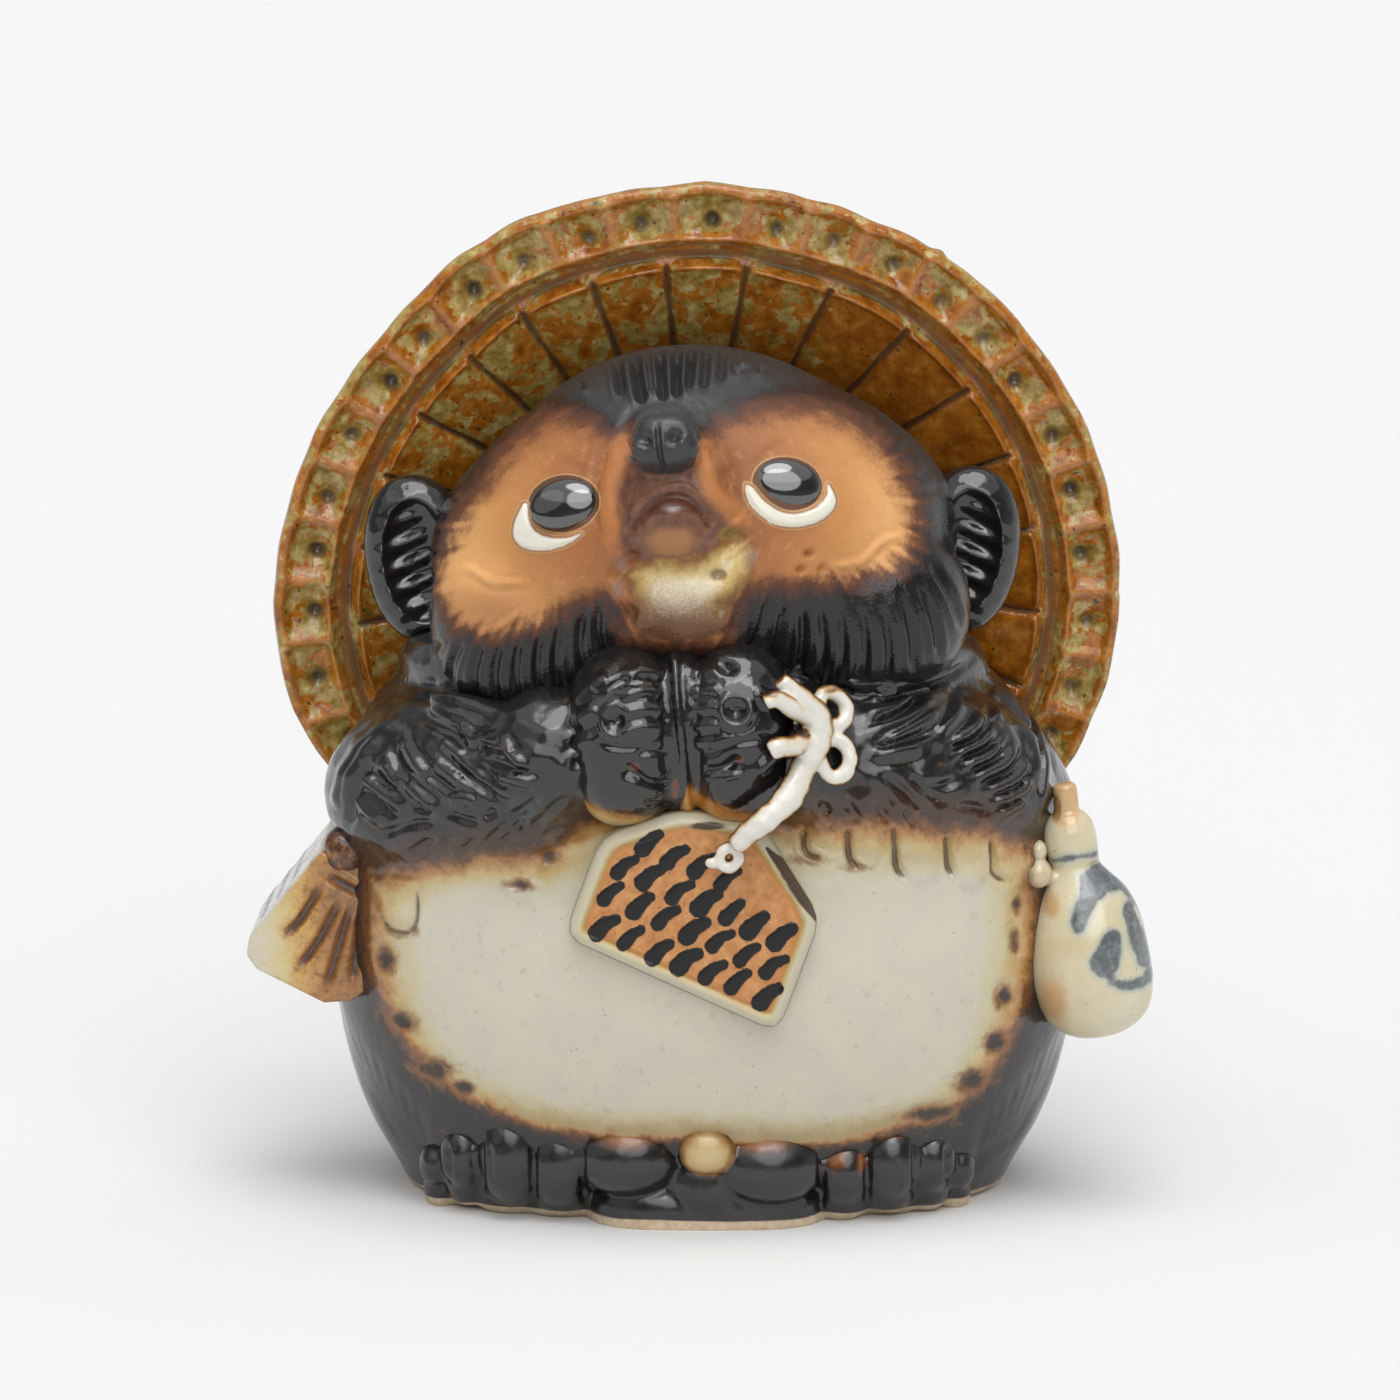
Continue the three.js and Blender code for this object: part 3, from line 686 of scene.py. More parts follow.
sunk += 1.5 * sinks(flat, [
    (-13.9, 93.6, 1.2, 1.2), (6.1, 95.2, 1.2, 1.2), (-12.0, 84.9, 1.9, 1.8), (5.9, 86.3, 1.9, 1.4),
    (4.6, 102.0, 1.4, 0.8),
])
sunk -= 0.6 * sinks(flat, [(-8.6, 103.0, 3.0, 1.0), (1.0, 104.0, 3.0, 0.8)])
seam, _ = along(flat, flowing([(-4.4, 105), (-4.1, 97.8), (-3.1, 89.4), (-2.4, 82.3), (-1.9, 76)]))
sunk -= 1.1 * swell(seam, 0.8)
co -= facing * (sunk * seen)[:, None]
move(paws, co)
sponge(paws, 2)
co = points(paws)
flat = co[:, [0, 2]]
paw_foot = np.array([
    (-22, 79.5), (-17.5, 77.8), (-13, 76.4), (-8, 76.0), (-3.5, 76.4), (-2.2, 81.4), (0, 80), (4, 77.8),
    (8, 76.8), (14, 75.4),
])
note(paws, "worn", np.interp(flat[:, 0], paw_foot[:, 0], paw_foot[:, 1]) - flat[:, 1])
note(paws, "hollow", hollows(paws))
note(paws, "rust", sinks(flat, [(-11.2, 85.4, 1.2, 0.9), (6.6, 86.6, 0.9, 0.7), (-4.2, 81, 0.8, 2.4)]))


def paws_paint(tree):
    black = black_glaze(tree)
    worn = ragged(tree, "worn", 1.0, 2.4, 3)
    bare = graded(tree, worn, [
        (-1.4, (0.012, 0.009, 0.008)), (-0.4, (0.07, 0.025, 0.009)), (0.5, (0.36, 0.15, 0.03)),
        (1.5, (0.50, 0.33, 0.12)), (3, (0.50, 0.42, 0.24)),
    ])
    across = position(tree, 0)
    amber = graded(tree, worn, [
        (-1.4, (0.012, 0.009, 0.008)), (-0.5, (0.10, 0.032, 0.008)), (0.6, (0.40, 0.15, 0.02)),
        (3, (0.47, 0.22, 0.04)),
    ])
    bare = over(tree, bare, amber, share_of(tree, across, -0.0035, -0.0015))
    colour = over(tree, black, bare, share_of(tree, worn, -1.4, -0.6))
    colour = over(
        tree, colour, (0.11, 0.035, 0.017), share_of(tree, ragged(tree, "rust", 0.1, 0.8), 0.35, 0.6),
    )
    gloss = level(tree, 0.10, 0.16, patches(tree, 0.45, 0.7, 5, 2))
    return colour, gloss, [(grain(tree, 3.2, 2), 0.22), (grain(tree, 0.7, 2), 0.015)]


glaze("paw_glaze", [paws], paws_paint)
settle(paws)

# Feet and pouch: rows of round toes standing from the foot of the body, the two-lobed pouch and
# its knob between them. They are moulded with the body, dipped in black glaze and wiped at the foot.
clay = [
    lump((0, -12, 8), (49, 15.5, 6.5), squareness=3.0),
    lump((1.2, -19, 1.5), (21.5, 19.0, 7.0), squareness=3.6),
]
for x, y, z, wide, deep, high in (
    (-47.2, -19.8, 8.0, 2.9, 5.0, 4.2), (-42.0, -24.4, 10.8, 4.1, 6.0, 6.4),
    (-33.6, -28.4, 11.8, 5.7, 7.0, 8.9), (-24.8, -30.2, 10.6, 5.5, 6.5, 8.0),
    (25.4, -30.2, 9.4, 5.2, 6.5, 6.6), (33.6, -28.9, 10.8, 5.5, 7.0, 7.3),
    (41.0, -25.4, 10.1, 4.3, 6.0, 6.3), (46.2, -20.8, 7.7, 2.9, 5.0, 4.4),
):
    clay.append(lump((x, y, z), (wide, deep, high), squareness=2.1, segments=48))
    clay.append(lump((x * 0.98, y + 3.2, z - 4.6), (wide * 1.12, deep, 5.8), segments=48))
    clay.append(
        lump((x * 0.97, y + 3.5 + abs(x) * 0.11, 4), (wide * 1.5, deep, 5), squareness=2.3, segments=48),
    )
clay += [
    lump((-12.6, -33.6, 12.4), (9.6, 7.6, 7.0), segments=48),
    lump((11.8, -33.6, 11.0), (10.2, 8.0, 7.4), segments=48),
]
clay.append(lump((1.2, -32.5, 7), (8, 6.4, 7.5), segments=48))
clay.append(lump((1.2, -37.2, 14.6), (5.0, 5.0, 4.3), squareness=2.6, segments=48))
feet = fuse(clay, "feet", coarseness=0.42, softened=20)
co, facing, flat = front_view(feet)
seen = np.clip((-facing[:, 1] - 0.02) * 4, 0, 1)
cuts = [
    ([(-44.6, 13.0), (-44.4, 6.5)], 1.1, 0.9),
    ([(-38.6, 17.5), (-38.2, 4)], 1.0, 0.7),
    ([(-29.3, 19), (-29.2, 3.5)], 1.0, 0.7),
    ([(-20.7, 18), (-20.5, 3)], 1.0, 0.6),
    ([(21.2, 14), (21.4, 2.5)], 1.1, 0.8),
    ([(29.3, 17), (29.5, 3)], 1.0, 0.7),
    ([(37.7, 17), (38.0, 3.5)], 1.0, 0.7),
    ([(43.6, 13), (44.2, 5.5)], 1.1, 0.9),
    ([(34.8, 12), (34.9, 6)], 0.8, 0.35),
    ([(-36.9, 14.5), (-36.5, 8)], 0.8, 0.3),
]
co -= facing * (tooled(flat, cuts, 0.15) * seen)[:, None]
co[:, 2] = np.maximum(co[:, 2], 0)
move(feet, co)
sponge(feet, 1)
co = points(feet)
co[:, 2] = np.maximum(co[:, 2], 0)
move(feet, co)
flat = co[:, [0, 2]]
wiped = 1 - np.hypot((flat[:, 0] - 1.2) / 5.0, (flat[:, 1] - 14.4) / 4.5)
note(feet, "knob", np.where(co[:, 1] < -36, wiped * 4.4, -5))
note(feet, "hollow", hollows(feet))
note(feet, "tips", sinks(flat, [
    (-30, 17.0, 3.6, 1.2), (-12.8, 17.0, 6.4, 2.2), (10.6, 16.0, 6.2, 1.9), (24, 12.6, 2.4, 2.8),
    (28.4, 12.0, 1.1, 2.8), (35, 16.6, 2.4, 1.2), (-36.4, 18.4, 3.4, 1.2), (41, 15, 1.6, 1),
]))


def feet_paint(tree):
    black = black_glaze(tree)
    tips = ragged(tree, "tips", 0.22, 2.0, 3)
    brown = graded(tree, tips, [
        (0.2, (0.014, 0.011, 0.010)), (0.55, (0.085, 0.029, 0.013)), (0.9, (0.27, 0.10, 0.03)),
    ])
    colour = over(tree, black, brown, share_of(tree, tips, 0.2, 0.5))
    knob = ragged(tree, "knob", 0.7, 2.0, 3)
    tan = graded(tree, knob, [
        (-0.2, (0.09, 0.035, 0.013)), (0.6, (0.34, 0.18, 0.06)), (1.6, (0.52, 0.35, 0.14)),
        (3, (0.56, 0.42, 0.21)),
    ])
    colour = over(tree, colour, tan, share_of(tree, knob, -0.4, 0.2))
    gloss = level(tree, 0.20, 0.32, patches(tree, 0.45, 0.7, 5, 2))
    colour, gloss = bare_foot(tree, colour, gloss)
    return colour, gloss, [(grain(tree, 5, 2), 0.25), (grain(tree, 0.7, 2), 0.015)]


glaze("foot_glaze", [feet], feet_paint)
settle(feet, kept=0.75)

# Head: a broad round face tipped up to look ahead, with a short muzzle and full cheek ruffs. It is
# moulded with the body; the face is left tan under thin glaze and the fur is sprayed black around it.
skull_at = np.array([-1.2, -12, 119.3])
clay = [
    lump(skull_at, (46.7, 39, 33.8), segments=128),
    lump((0, 11, 114), (36, 22.5, 28)),
    lump((-4.2, -40.5, 128), (13, 13.5, 16), (-22, 0, 0)),
    lump((-1.2, -42, 114), (14, 9.5, 12)),
]
for side in (-1, 1):
    clay.append(lump((25.5 * side, -25, 107.6 + side), (21.8, 19.5, 16.2), squareness=2.35))
clay += [lump((-29, -29.5, 99.5), (16, 13.5, 9.5)), lump((30, -27, 102.5), (15, 13, 8.5))]
clay = [fuse(clay, "head", coarseness=0.75, softened=44)]
clay.append(lump((-6.7, -51.1, 140.2), (7.0, 4.8, 5.0), (-30, 0, 0), squareness=2.7))
head = fuse(clay, "head", coarseness=0.56, softened=6)
co = points(head)
reach = np.where(
    co[:, 0] < skull_at[0],
    np.interp(co[:, 2], [116, 124, 132.5, 141.6, 147.5, 154], [1, 0.97, 0.90, 0.81, 0.82, 0.85]),
    np.interp(co[:, 2], [130, 136, 141.6, 147.5, 154], [1, 0.98, 0.93, 0.83, 0.82]),
)
co[:, 0] = skull_at[0] + (co[:, 0] - skull_at[0]) * reach
move(head, co)
across, back, up = middles(head).T
eyes_and_muzzle = (back < -34) & (across > -34) & (across < 25) & (up > 110) & (up < 146)
ruff = (back < -8) & (np.abs(across) < 50) & (up > 88) & (up < 110)
brow = (back < -17) & (np.abs(across + 6) < 26) & (up > 142) & (up < 155)
refine(head, eyes_and_muzzle | ruff | brow)
sponge(head, 2)

nose_rim = [
    (-12.6, 139.8), (-11.8, 142.1), (-9.5, 143.8), (-6.4, 144.4), (-2.8, 144.0), (-0.7, 142.1),
    (-0.3, 139.4), (-1.2, 136.4), (-3.2, 135.4), (-6.2, 135.1), (-9.9, 135.4), (-11.8, 136.8),
]
crescent_left = [
    (-30.3, 128.5), (-31.8, 125.4), (-31.9, 122.7), (-30.1, 121.1), (-26.3, 121.0), (-22.6, 122.3),
    (-20.1, 124.3), (-23.0, 123.4), (-26.1, 123.4), (-28.2, 124.3), (-29.3, 126.0), (-29.6, 128.4),
]
crescent_right = [
    (7.7, 132.7), (7.9, 130.5), (9.7, 128.0), (12.7, 126.0), (16.3, 125.4), (19.9, 126.0),
    (22.4, 127.6), (23.2, 129.7), (21.9, 132.2), (21.5, 130.1), (19.8, 128.6), (16.8, 127.7),
    (13.8, 128.1), (11.0, 129.9), (9.0, 132.2),
]
mouth = [
    (-11.2, 125.9), (-9.6, 128.4), (-7.4, 130.4), (-4.8, 131.4), (-2.3, 131.1), (-0.3, 129.4),
    (1.3, 126.5),
]
cuts = [
    ([(-14.6, 151.4), (-13.5, 146.4)], 1.5, 1.5),
    ([(-11.6, 152.6), (-9.9, 145.4)], 1.6, 1.9),
    ([(-9.2, 153.0), (-8.2, 147.0)], 1.3, 0.8),
    ([(-7.2, 153.2), (-6.3, 145.8)], 1.5, 1.8),
    ([(-4.0, 153.4), (-4.1, 146.4)], 1.5, 1.8),
    ([(-1.4, 153.4), (-2.1, 147.8)], 1.4, 1.5),
    ([(1.2, 153.2), (0.6, 147.6)], 1.3, 1.0),
    ([(4.1, 152.9), (3.5, 148.6)], 1.3, 0.8),
    ([(6.6, 152.2), (5.8, 149.5)], 1.2, 0.5),
    ([(-7.2, 143.6), (-6.8, 139.2), (-6.0, 135.4)], 0.8, 0.75),
    ([(-13.6, 140.0), (-11.6, 144.0), (-6.6, 145.8), (-2.0, 145.0), (0.8, 141.0)], 1.6, 0.3),
    ([(-10.9, 136.6), (-12.9, 139.6)], 1.0, 0.5),
    (mouth, 1.7, 0.9),
    ([(-13.3, 138.2), (-15.5, 131.7), (-15.1, 123.8)], 3.0, -0.7),
    ([(-0.1, 139.6), (2.2, 132.2), (6.6, 127.4)], 2.4, -0.7),
    ([(-15.8, 137.5), (-18.4, 131), (-17.6, 124)], 2.2, 0.35),
    ([(1.8, 139.0), (4.6, 132.6), (7.2, 129.4)], 1.8, 0.35),
    ([(-9.9, 121.4), (-13.4, 119.4), (-15.6, 116.0)], 1.6, 0.9),
    ([(2.0, 122.6), (5.6, 125.8), (7.4, 127.4)], 1.5, -0.5),
    ([(3.0, 121.0), (6.6, 123.6), (8.2, 124.4)], 1.5, 0.7),
    ([(-42.6, 115.6), (-39.4, 116.6), (-35.6, 114.9), (-30.0, 115.3)], 1.2, -0.65),
    ([(-37.8, 105.9), (-35.0, 107.2), (-30.8, 110.1)], 1.2, -0.6),
    ([(22.7, 118.4), (27.6, 118.9), (31.4, 122.0), (35.8, 122.4)], 1.2, -0.65),
    ([(-12.4, 118), (-12.9, 112), (-12.2, 106)], 2.2, 0.8),
    ([(7.4, 118), (6.6, 112), (5.4, 106)], 2.2, 0.8),
    ([(9, 135.6), (14, 138.6), (20, 137.2)], 1.8, 0.25),
    ([(-30, 131.6), (-25, 135.2), (-19, 134.4)], 1.8, 0.25),
]
# Cuts of the cheek ruffs, fanning out from each eye down to the jaw.
left_eye, right_eye = np.array([-23.3, 128.9]), np.array([14.9, 132.5])
left_tops = [
    (-45.1, 103.8), (-41.0, 104.6), (-37.4, 104.9), (-34.1, 105.3), (-30.8, 106.0), (-27.2, 107.3),
    (-23.9, 108.7), (-20.1, 110.6), (-17.2, 112.0),
]
left_ends = [
    (-48.5, 96.5), (-43.2, 94.4), (-38.8, 93.6), (-34.9, 93.2), (-31.0, 93.0), (-27.2, 93.4),
    (-24.1, 94.4), (-19.6, 98.6), (-16.4, 101.6),
]
right_tops = [
    (11.6, 113.8), (14.3, 112.0), (17.6, 111.3), (20.7, 111.3), (23.9, 111.5), (27.4, 111.9),
    (30.8, 112.6), (34.3, 113.8), (37.5, 115.4), (39.6, 118.2),
]
right_ends = [
    (7.3, 101.7), (10.9, 99.4), (16.0, 96.0), (20.0, 95.2), (23.6, 95.2), (27.8, 95.4), (32.3, 96.4),
    (36.8, 98.6), (41.4, 101.4), (45.4, 106),
]
ruff_width, ruff_depth = 1.3, 0.6
for top, end in zip(left_tops + right_tops, left_ends + right_ends):
    bow = 0.8 if end[0] > 0 else -0.8
    half_way = ((top[0] + end[0]) / 2 + bow, (top[1] + end[1]) / 2)
    cuts.append(([top, half_way, end], ruff_width, ruff_depth))
temple_width, temple_depth = 1.2, 0.25
for eye, angles in ((left_eye, range(146, 200, 7)), (right_eye, range(-8, 62, 7))):
    for angle in np.radians(angles):
        ray = np.array([math.cos(angle), math.sin(angle)])
        cuts.append(([eye + ray * 22.5, eye + ray * 29], temple_width, temple_depth))
co, facing, flat = front_view(head)
seen = np.clip((-facing[:, 1] - 0.02) * 6, 0, 1) * (co[:, 1] < 6)
sunk = tooled(flat, cuts)
sunk += 1.3 * sinks(flat, [
    (-9.2, 141.0, 1.1, 1.0), (-4.1, 141.8, 1.1, 1.0), (-11.6, 110.3, 1.3, 1.5), (3.7, 112.0, 1.4, 1.6),
    (3.1, 117.6, 1.5, 1.1),
    (-20.7, 146.9, 0.8, 0.5), (6.9, 149.9, 0.8, 0.5), (10.6, 149.8, 0.8, 0.5), (8.0, 151.4, 0.7, 0.4),
    (18.6, 120.8, 0.8, 0.6), (17.2, 118.1, 0.8, 0.7), (21.0, 118.1, 0.8, 0.7), (5.2, 124.6, 1.6, 1.0),
])
sunk -= 0.7 * sinks(flat, [
    (-10.5, 139.9, 0.9, 0.9), (-3.1, 140.9, 0.8, 0.8), (-20.7, 146.4, 1.6, 1.1),
    (-25.3, 145.9, 1.3, 0.9), (6.9, 149.4, 1.6, 0.9), (10.6, 149.3, 1.5, 0.9), (8.0, 151.2, 1.6, 0.8),
    (-21.2, 148.8, 1.2, 0.6),
    (-4.9, 124.0, 5.2, 3.0), (3.0, 135.8, 2.4, 1.4),
])
sunk -= 1.9 * sinks(flat, [(-4.7, 128.4, 3.0, 1.7)])


def rimmed(flat, rim):
    """Distance inside a closed outline in millimetres, minus outside it."""
    rim = np.asarray(rim, float)
    rim = np.vstack([rim, rim[:1]])
    low, high = rim.min(0) - 26, rim.max(0) + 26
    edge = np.full(len(flat), -26.0)
    near = np.flatnonzero(((flat > low) & (flat < high)).all(1))
    off, _ = along(flat[near], rim)
    within = np.zeros(len(near), bool)
    x, z = flat[near].T
    for (x0, z0), (x1, z1) in zip(rim[:-1], rim[1:]):
        within ^= ((z0 > z) != (z1 > z)) & (x < x0 + (z - z0) * (x1 - x0) / ((z1 - z0) or 1e-9))
    edge[near] = np.where(within, off, -off)
    return edge


crescent_left, crescent_right = (flowing(rim + rim[:1], 5) for rim in (crescent_left, crescent_right))
white = np.maximum(rimmed(flat, crescent_left), rimmed(flat, crescent_right))
sunk -= 0.75 * rising(white, -0.35, 0.55)
co -= facing * (sunk * seen)[:, None]
move(head, co)
sponge(head, 1)
co, facing, flat = front_view(head)
before = facing[:, 1] < 0.1
off_the_front = -26
face_rim = [
    (-15.0, 140.8), (-18.9, 142.8), (-23.4, 143.4), (-27.2, 142.4), (-31.2, 139.8), (-35.2, 136.0),
    (-38.6, 131.4), (-42.6, 125.8),
    (-45.8, 119.4), (-47.6, 113.6), (-46.0, 109.0), (-42.8, 106.5), (-37.8, 105.0), (-32.6, 105.4),
    (-26.5, 107.6), (-21.3, 110.9), (-17.0, 113.4),
    (-14.5, 111.2), (-13.3, 104.8), (-1.7, 104.5), (6.0, 105.0), (6.8, 111.1), (8.5, 114.0),
    (11.9, 114.8), (17.0, 114.2), (25.6, 114.6),
    (33.4, 116.4), (37.4, 119.2), (39.0, 123.8), (38.0, 129.8), (35.2, 134.8), (31.5, 139.0),
    (27.4, 142.4), (22.5, 144.6), (17.2, 145.4),
    (11.2, 145.4), (6.0, 144.0), (2.0, 142.2), (0.9, 140.8),
]
muzzle_rim = [
    (-12.6, 139.3), (-14.2, 133.3), (-14.6, 127.6), (-14.0, 122.6), (-11.5, 120.9), (-7.6, 119.4),
    (-1.7, 119.8), (2.0, 122.1), (5.0, 124.8), (3.4, 129.5), (0.8, 133.8), (-0.2, 138.4), (-1.7, 135.9),
    (-6.7, 135.4), (-10.8, 136.3),
]
chin_rim = [
    (-11.9, 117.4), (-10.1, 119.4), (-6.5, 120.8), (-1.0, 120.6), (2.3, 122.4), (6.3, 123.9),
    (9.6, 121.4), (8.2, 117.4), (5.5, 113.8), (4.2, 108.1), (-2.8, 106.4), (-10.1, 106.9),
    (-11.5, 111.8),
]
spokes = np.where(flat[:, :1] < -4, flat - left_eye, flat - right_eye)
around = np.degrees(np.arctan2(spokes[:, 1], spokes[:, 0]))
teeth = 0.6 * np.sin(np.radians(around * 360 / 6.9)) + 0.5 * np.sin(np.radians(around * 360 / 4.1 + 50))
teeth += 0.4 * np.sin(np.radians(around * 360 / 15))
note(head, "teeth", teeth * rising(np.hypot(*spokes.T), 14, 20))
note(head, "face", np.minimum(rimmed(flat, face_rim), (0.08 - facing[:, 1]) * 40))
white = np.maximum(rimmed(flat, crescent_left), rimmed(flat, crescent_right))
for name, edge in (
    ("muzzle", rimmed(flat, muzzle_rim)), ("chin", rimmed(flat, chin_rim)), ("white", white),
    ("nose", np.where(co[:, 1] < -44, rimmed(flat, nose_rim), off_the_front)),
):
    note(head, name, np.where(before, edge, off_the_front))
off, _ = along(flat, flowing([(-13.3, 138.8), (-15.5, 131.7), (-15.1, 123.8)]))
off_right, _ = along(flat, flowing([(0.2, 139.8), (2.2, 132.2), (6.6, 127.4)]))
note(head, "ridge", np.minimum(off, off_right))
note(head, "from_nose", np.hypot(flat[:, 0] + 4.7, (flat[:, 1] - 130) * 1.15))
lips, _ = along(flat, flowing(mouth))
note(head, "mouth", np.where(before, 3.5 - lips - 2 * (1 - sinks(flat, [(-4.8, 129.2, 3.4, 1.9)])), -5))
pupil_gap = np.full(len(flat), 1e9)
for eye, wide, high, rise in ((left_eye, 6.0, 4.5, 0.12), (right_eye, 5.8, 4.2, -0.10)):
    from_eye = flat - eye
    around_eye = np.hypot(from_eye[:, 0] / wide, (from_eye[:, 1] - rise * from_eye[:, 0]) / high)
    pupil_gap = np.minimum(pupil_gap, around_eye)
note(head, "eye_edge", (pupil_gap - 1) * 5)
tongue_marks = [(-4.7, 123.6, 4.8, 3.0)]
corner_marks = [(5.0, 124.6, 2.4, 1.5), (3.2, 117.6, 1.7, 1.2)]
# Painted highlights: pale pinkish grey spots on the mouth bump, below the mouth corner and at the sides of
# the chin.
painted_highlight_marks = [
    (-4.9, 129.7, 2.6, 1.0), (3.1, 117.6, 1.4, 1.0), (-13.4, 119.4, 1.8, 2.2), (8.6, 120.6, 1.8, 2.6),
    (-14, 115, 1.6, 2.6),
]
for name, marks in (("tongue", tongue_marks), ("corner", corner_marks), ("painted_highlight", painted_highlight_marks)):
    note(head, name, before * sinks(flat, marks))
# Painted shade over the lower left cheek.
note(head, "painted_shade_left_cheek", sinks(flat, [(-35.5, 110.5, 10, 4.5)]))
note(head, "hollow", hollows(head))


def head_paint(tree):
    up = sums(tree, "MULTIPLY", position(tree), 1000)
    # The upper head is satin black, and its colour carries a painted sheen: lighter blue grey where the
    # clay stands up, near black in the hollows.
    satin_and_painted_sheen = share_of(tree, shifted(tree, up, grain(tree, 8, 2), 2), 124, 131)
    forehead_black_with_painted_sheen = over(
        tree, (0.032, 0.033, 0.036), (0.007, 0.007, 0.007),
        share_of(tree, measure(tree, "hollow"), 0.03, 0.16),
    )
    black = over(tree, black_glaze(tree), forehead_black_with_painted_sheen, satin_and_painted_sheen)
    # Sprayed edge of the face, broken into hairs where the brush dragged the black outwards.
    edge = sums(tree, "ADD", measure(tree, "face"), sums(tree, "MULTIPLY", measure(tree, "teeth"), 0.85))
    edge = shifted(tree, edge, grain(tree, 4.0, 4, 0.6), 2.4)
    edge = shifted(tree, edge, grain(tree, 0.55, 2), 0.9)
    warm = graded(tree, ragged(tree, "from_nose", 3, 7, 3), [
        (6, (0.19, 0.062, 0.018)), (14, (0.28, 0.098, 0.028)), (22, (0.40, 0.155, 0.045)),
        (30, (0.56, 0.255, 0.078)), (38, (0.74, 0.39, 0.145)),
    ])
    warm = over(tree, warm, (0.62, 0.31, 0.13), patches(tree, 0.5, 0.75, 2.6, 4, 0.7), 0.5)
    warm = over(tree, warm, (0.22, 0.085, 0.032), patches(tree, 0.62, 0.8, 0.5, 2), 0.35)
    # The lower left cheek is darkened to a deeper brown: painted shade.
    warm = over(tree, warm, (0.33, 0.13, 0.042), measure(tree, "painted_shade_left_cheek"), 0.75)
    burnt = graded(tree, edge, [
        (-2.6, (0.014, 0.011, 0.010)), (-1.0, (0.034, 0.014, 0.009)), (1.2, (0.13, 0.042, 0.014)),
        (3.4, (0.30, 0.11, 0.032)),
    ])
    colour = over(tree, black, burnt, share_of(tree, edge, -2.6, -1.2))
    colour = over(
        tree, colour, warm,
        level(tree, share_of(tree, edge, 0.8, 4.6), share_of(tree, edge, 1.2, 6.2), satin_and_painted_sheen),
    )
    ridge = share_of(tree, ragged(tree, "ridge", 0.8, 3, 3), 2.6, 0.4)
    muzzle = ragged(tree, "muzzle", 0.8, 3, 3)
    red = graded(tree, grain(tree, 2.2, 4, 0.65), [
        (0.3, (0.105, 0.036, 0.020)), (0.5, (0.165, 0.065, 0.036)), (0.7, (0.24, 0.105, 0.058)),
    ])
    colour = over(tree, colour, red, share_of(tree, muzzle, -0.9, 0.9))
    colour = over(
        tree, colour, (0.44, 0.165, 0.045),
        sums(tree, "MULTIPLY", ridge, share_of(tree, edge, -0.5, 2)),
    )
    colour = layered(tree, colour, [
        ((0.36, 0.165, 0.058), ragged(tree, "tongue", 0.15, 2.4, 3), 0.22, 0.8, 0.9),
        ((0.10, 0.035, 0.018), ragged(tree, "mouth", 0.4, 1.4, 2), 0.6, 1.5, 1),
    ])
    chin = ragged(tree, "chin", 2.6, 3.0, 5, 0.65)
    pale = graded(tree, chin, [
        (-1.2, (0.10, 0.038, 0.015)), (-0.2, (0.25, 0.105, 0.024)), (0.9, (0.40, 0.23, 0.055)),
        (2.6, (0.64, 0.46, 0.18)), (4.8, (0.88, 0.77, 0.56)),
    ])
    down = share_of(
        tree, shifted(tree, shifted(tree, up, grain(tree, 4, 3), 1.5), grain(tree, 0.5, 2), 1.8), 118.5,
        108.5,
    )
    pale = over(tree, pale, (0.15, 0.062, 0.026), down)
    colour = layered(tree, colour, [
        (pale, chin, -1.2, 0.3, 1),
        ((0.26, 0.16, 0.035), measure(tree, "corner"), 0.3, 0.7, 0.8),
        # pinkish grey painted highlights
        ((0.33, 0.27, 0.27), ragged(tree, "painted_highlight", 0.2, 1.4, 3), 0.3, 1.3, 0.5),
    ])
    line = share_of(tree, measure(tree, "eye_edge"), 0.5, 0.3)
    colour = over(tree, colour, (0.50, 0.27, 0.11), line, 0.9)
    line = share_of(tree, measure(tree, "eye_edge"), 0.2, 0.05)
    colour = over(tree, colour, (0.12, 0.05, 0.022), line)
    white = measure(tree, "white")
    colour = layered(tree, colour, [
        ((0.66, 0.42, 0.19), white, -0.7, -0.3, 0.6),
        ((0.36, 0.17, 0.07), white, -0.42, -0.15, 1),
        ((0.76, 0.73, 0.62), white, -0.12, 0.22, 1),
    ])
    nose = measure(tree, "nose")
    # The nose is painted a lighter grey than the black fur, a painted sheen.
    colour = over(tree, colour, (0.036, 0.036, 0.038), share_of(tree, nose, -0.5, 0.2))
    matt = share_of(tree, edge, -2, 1)
    gloss = level(tree, 0.12, 0.33, satin_and_painted_sheen)
    gloss = level(tree, gloss, 0.58, matt)
    gloss = level(tree, gloss, 0.40, share_of(tree, muzzle, -0.5, 0.5))
    wet = share_of(tree, chin, -0.8, 0.8)
    gloss = level(tree, gloss, 0.12, wet)
    gloss = level(tree, gloss, 0.10, share_of(tree, measure(tree, "mouth"), 0.5, 1.2))
    gloss = level(tree, gloss, 0.14, share_of(tree, white, -0.3, 0.1))
    gloss = level(tree, gloss, 0.26, share_of(tree, nose, -0.5, 0.2))
    return colour, gloss, [(grain(tree, 5, 2), 0.25), (grain(tree, 0.6, 3), 0.09)]


glaze("face_and_fur_glaze", [head], head_paint, shine=1.5)
settle(head, kept=0.43)

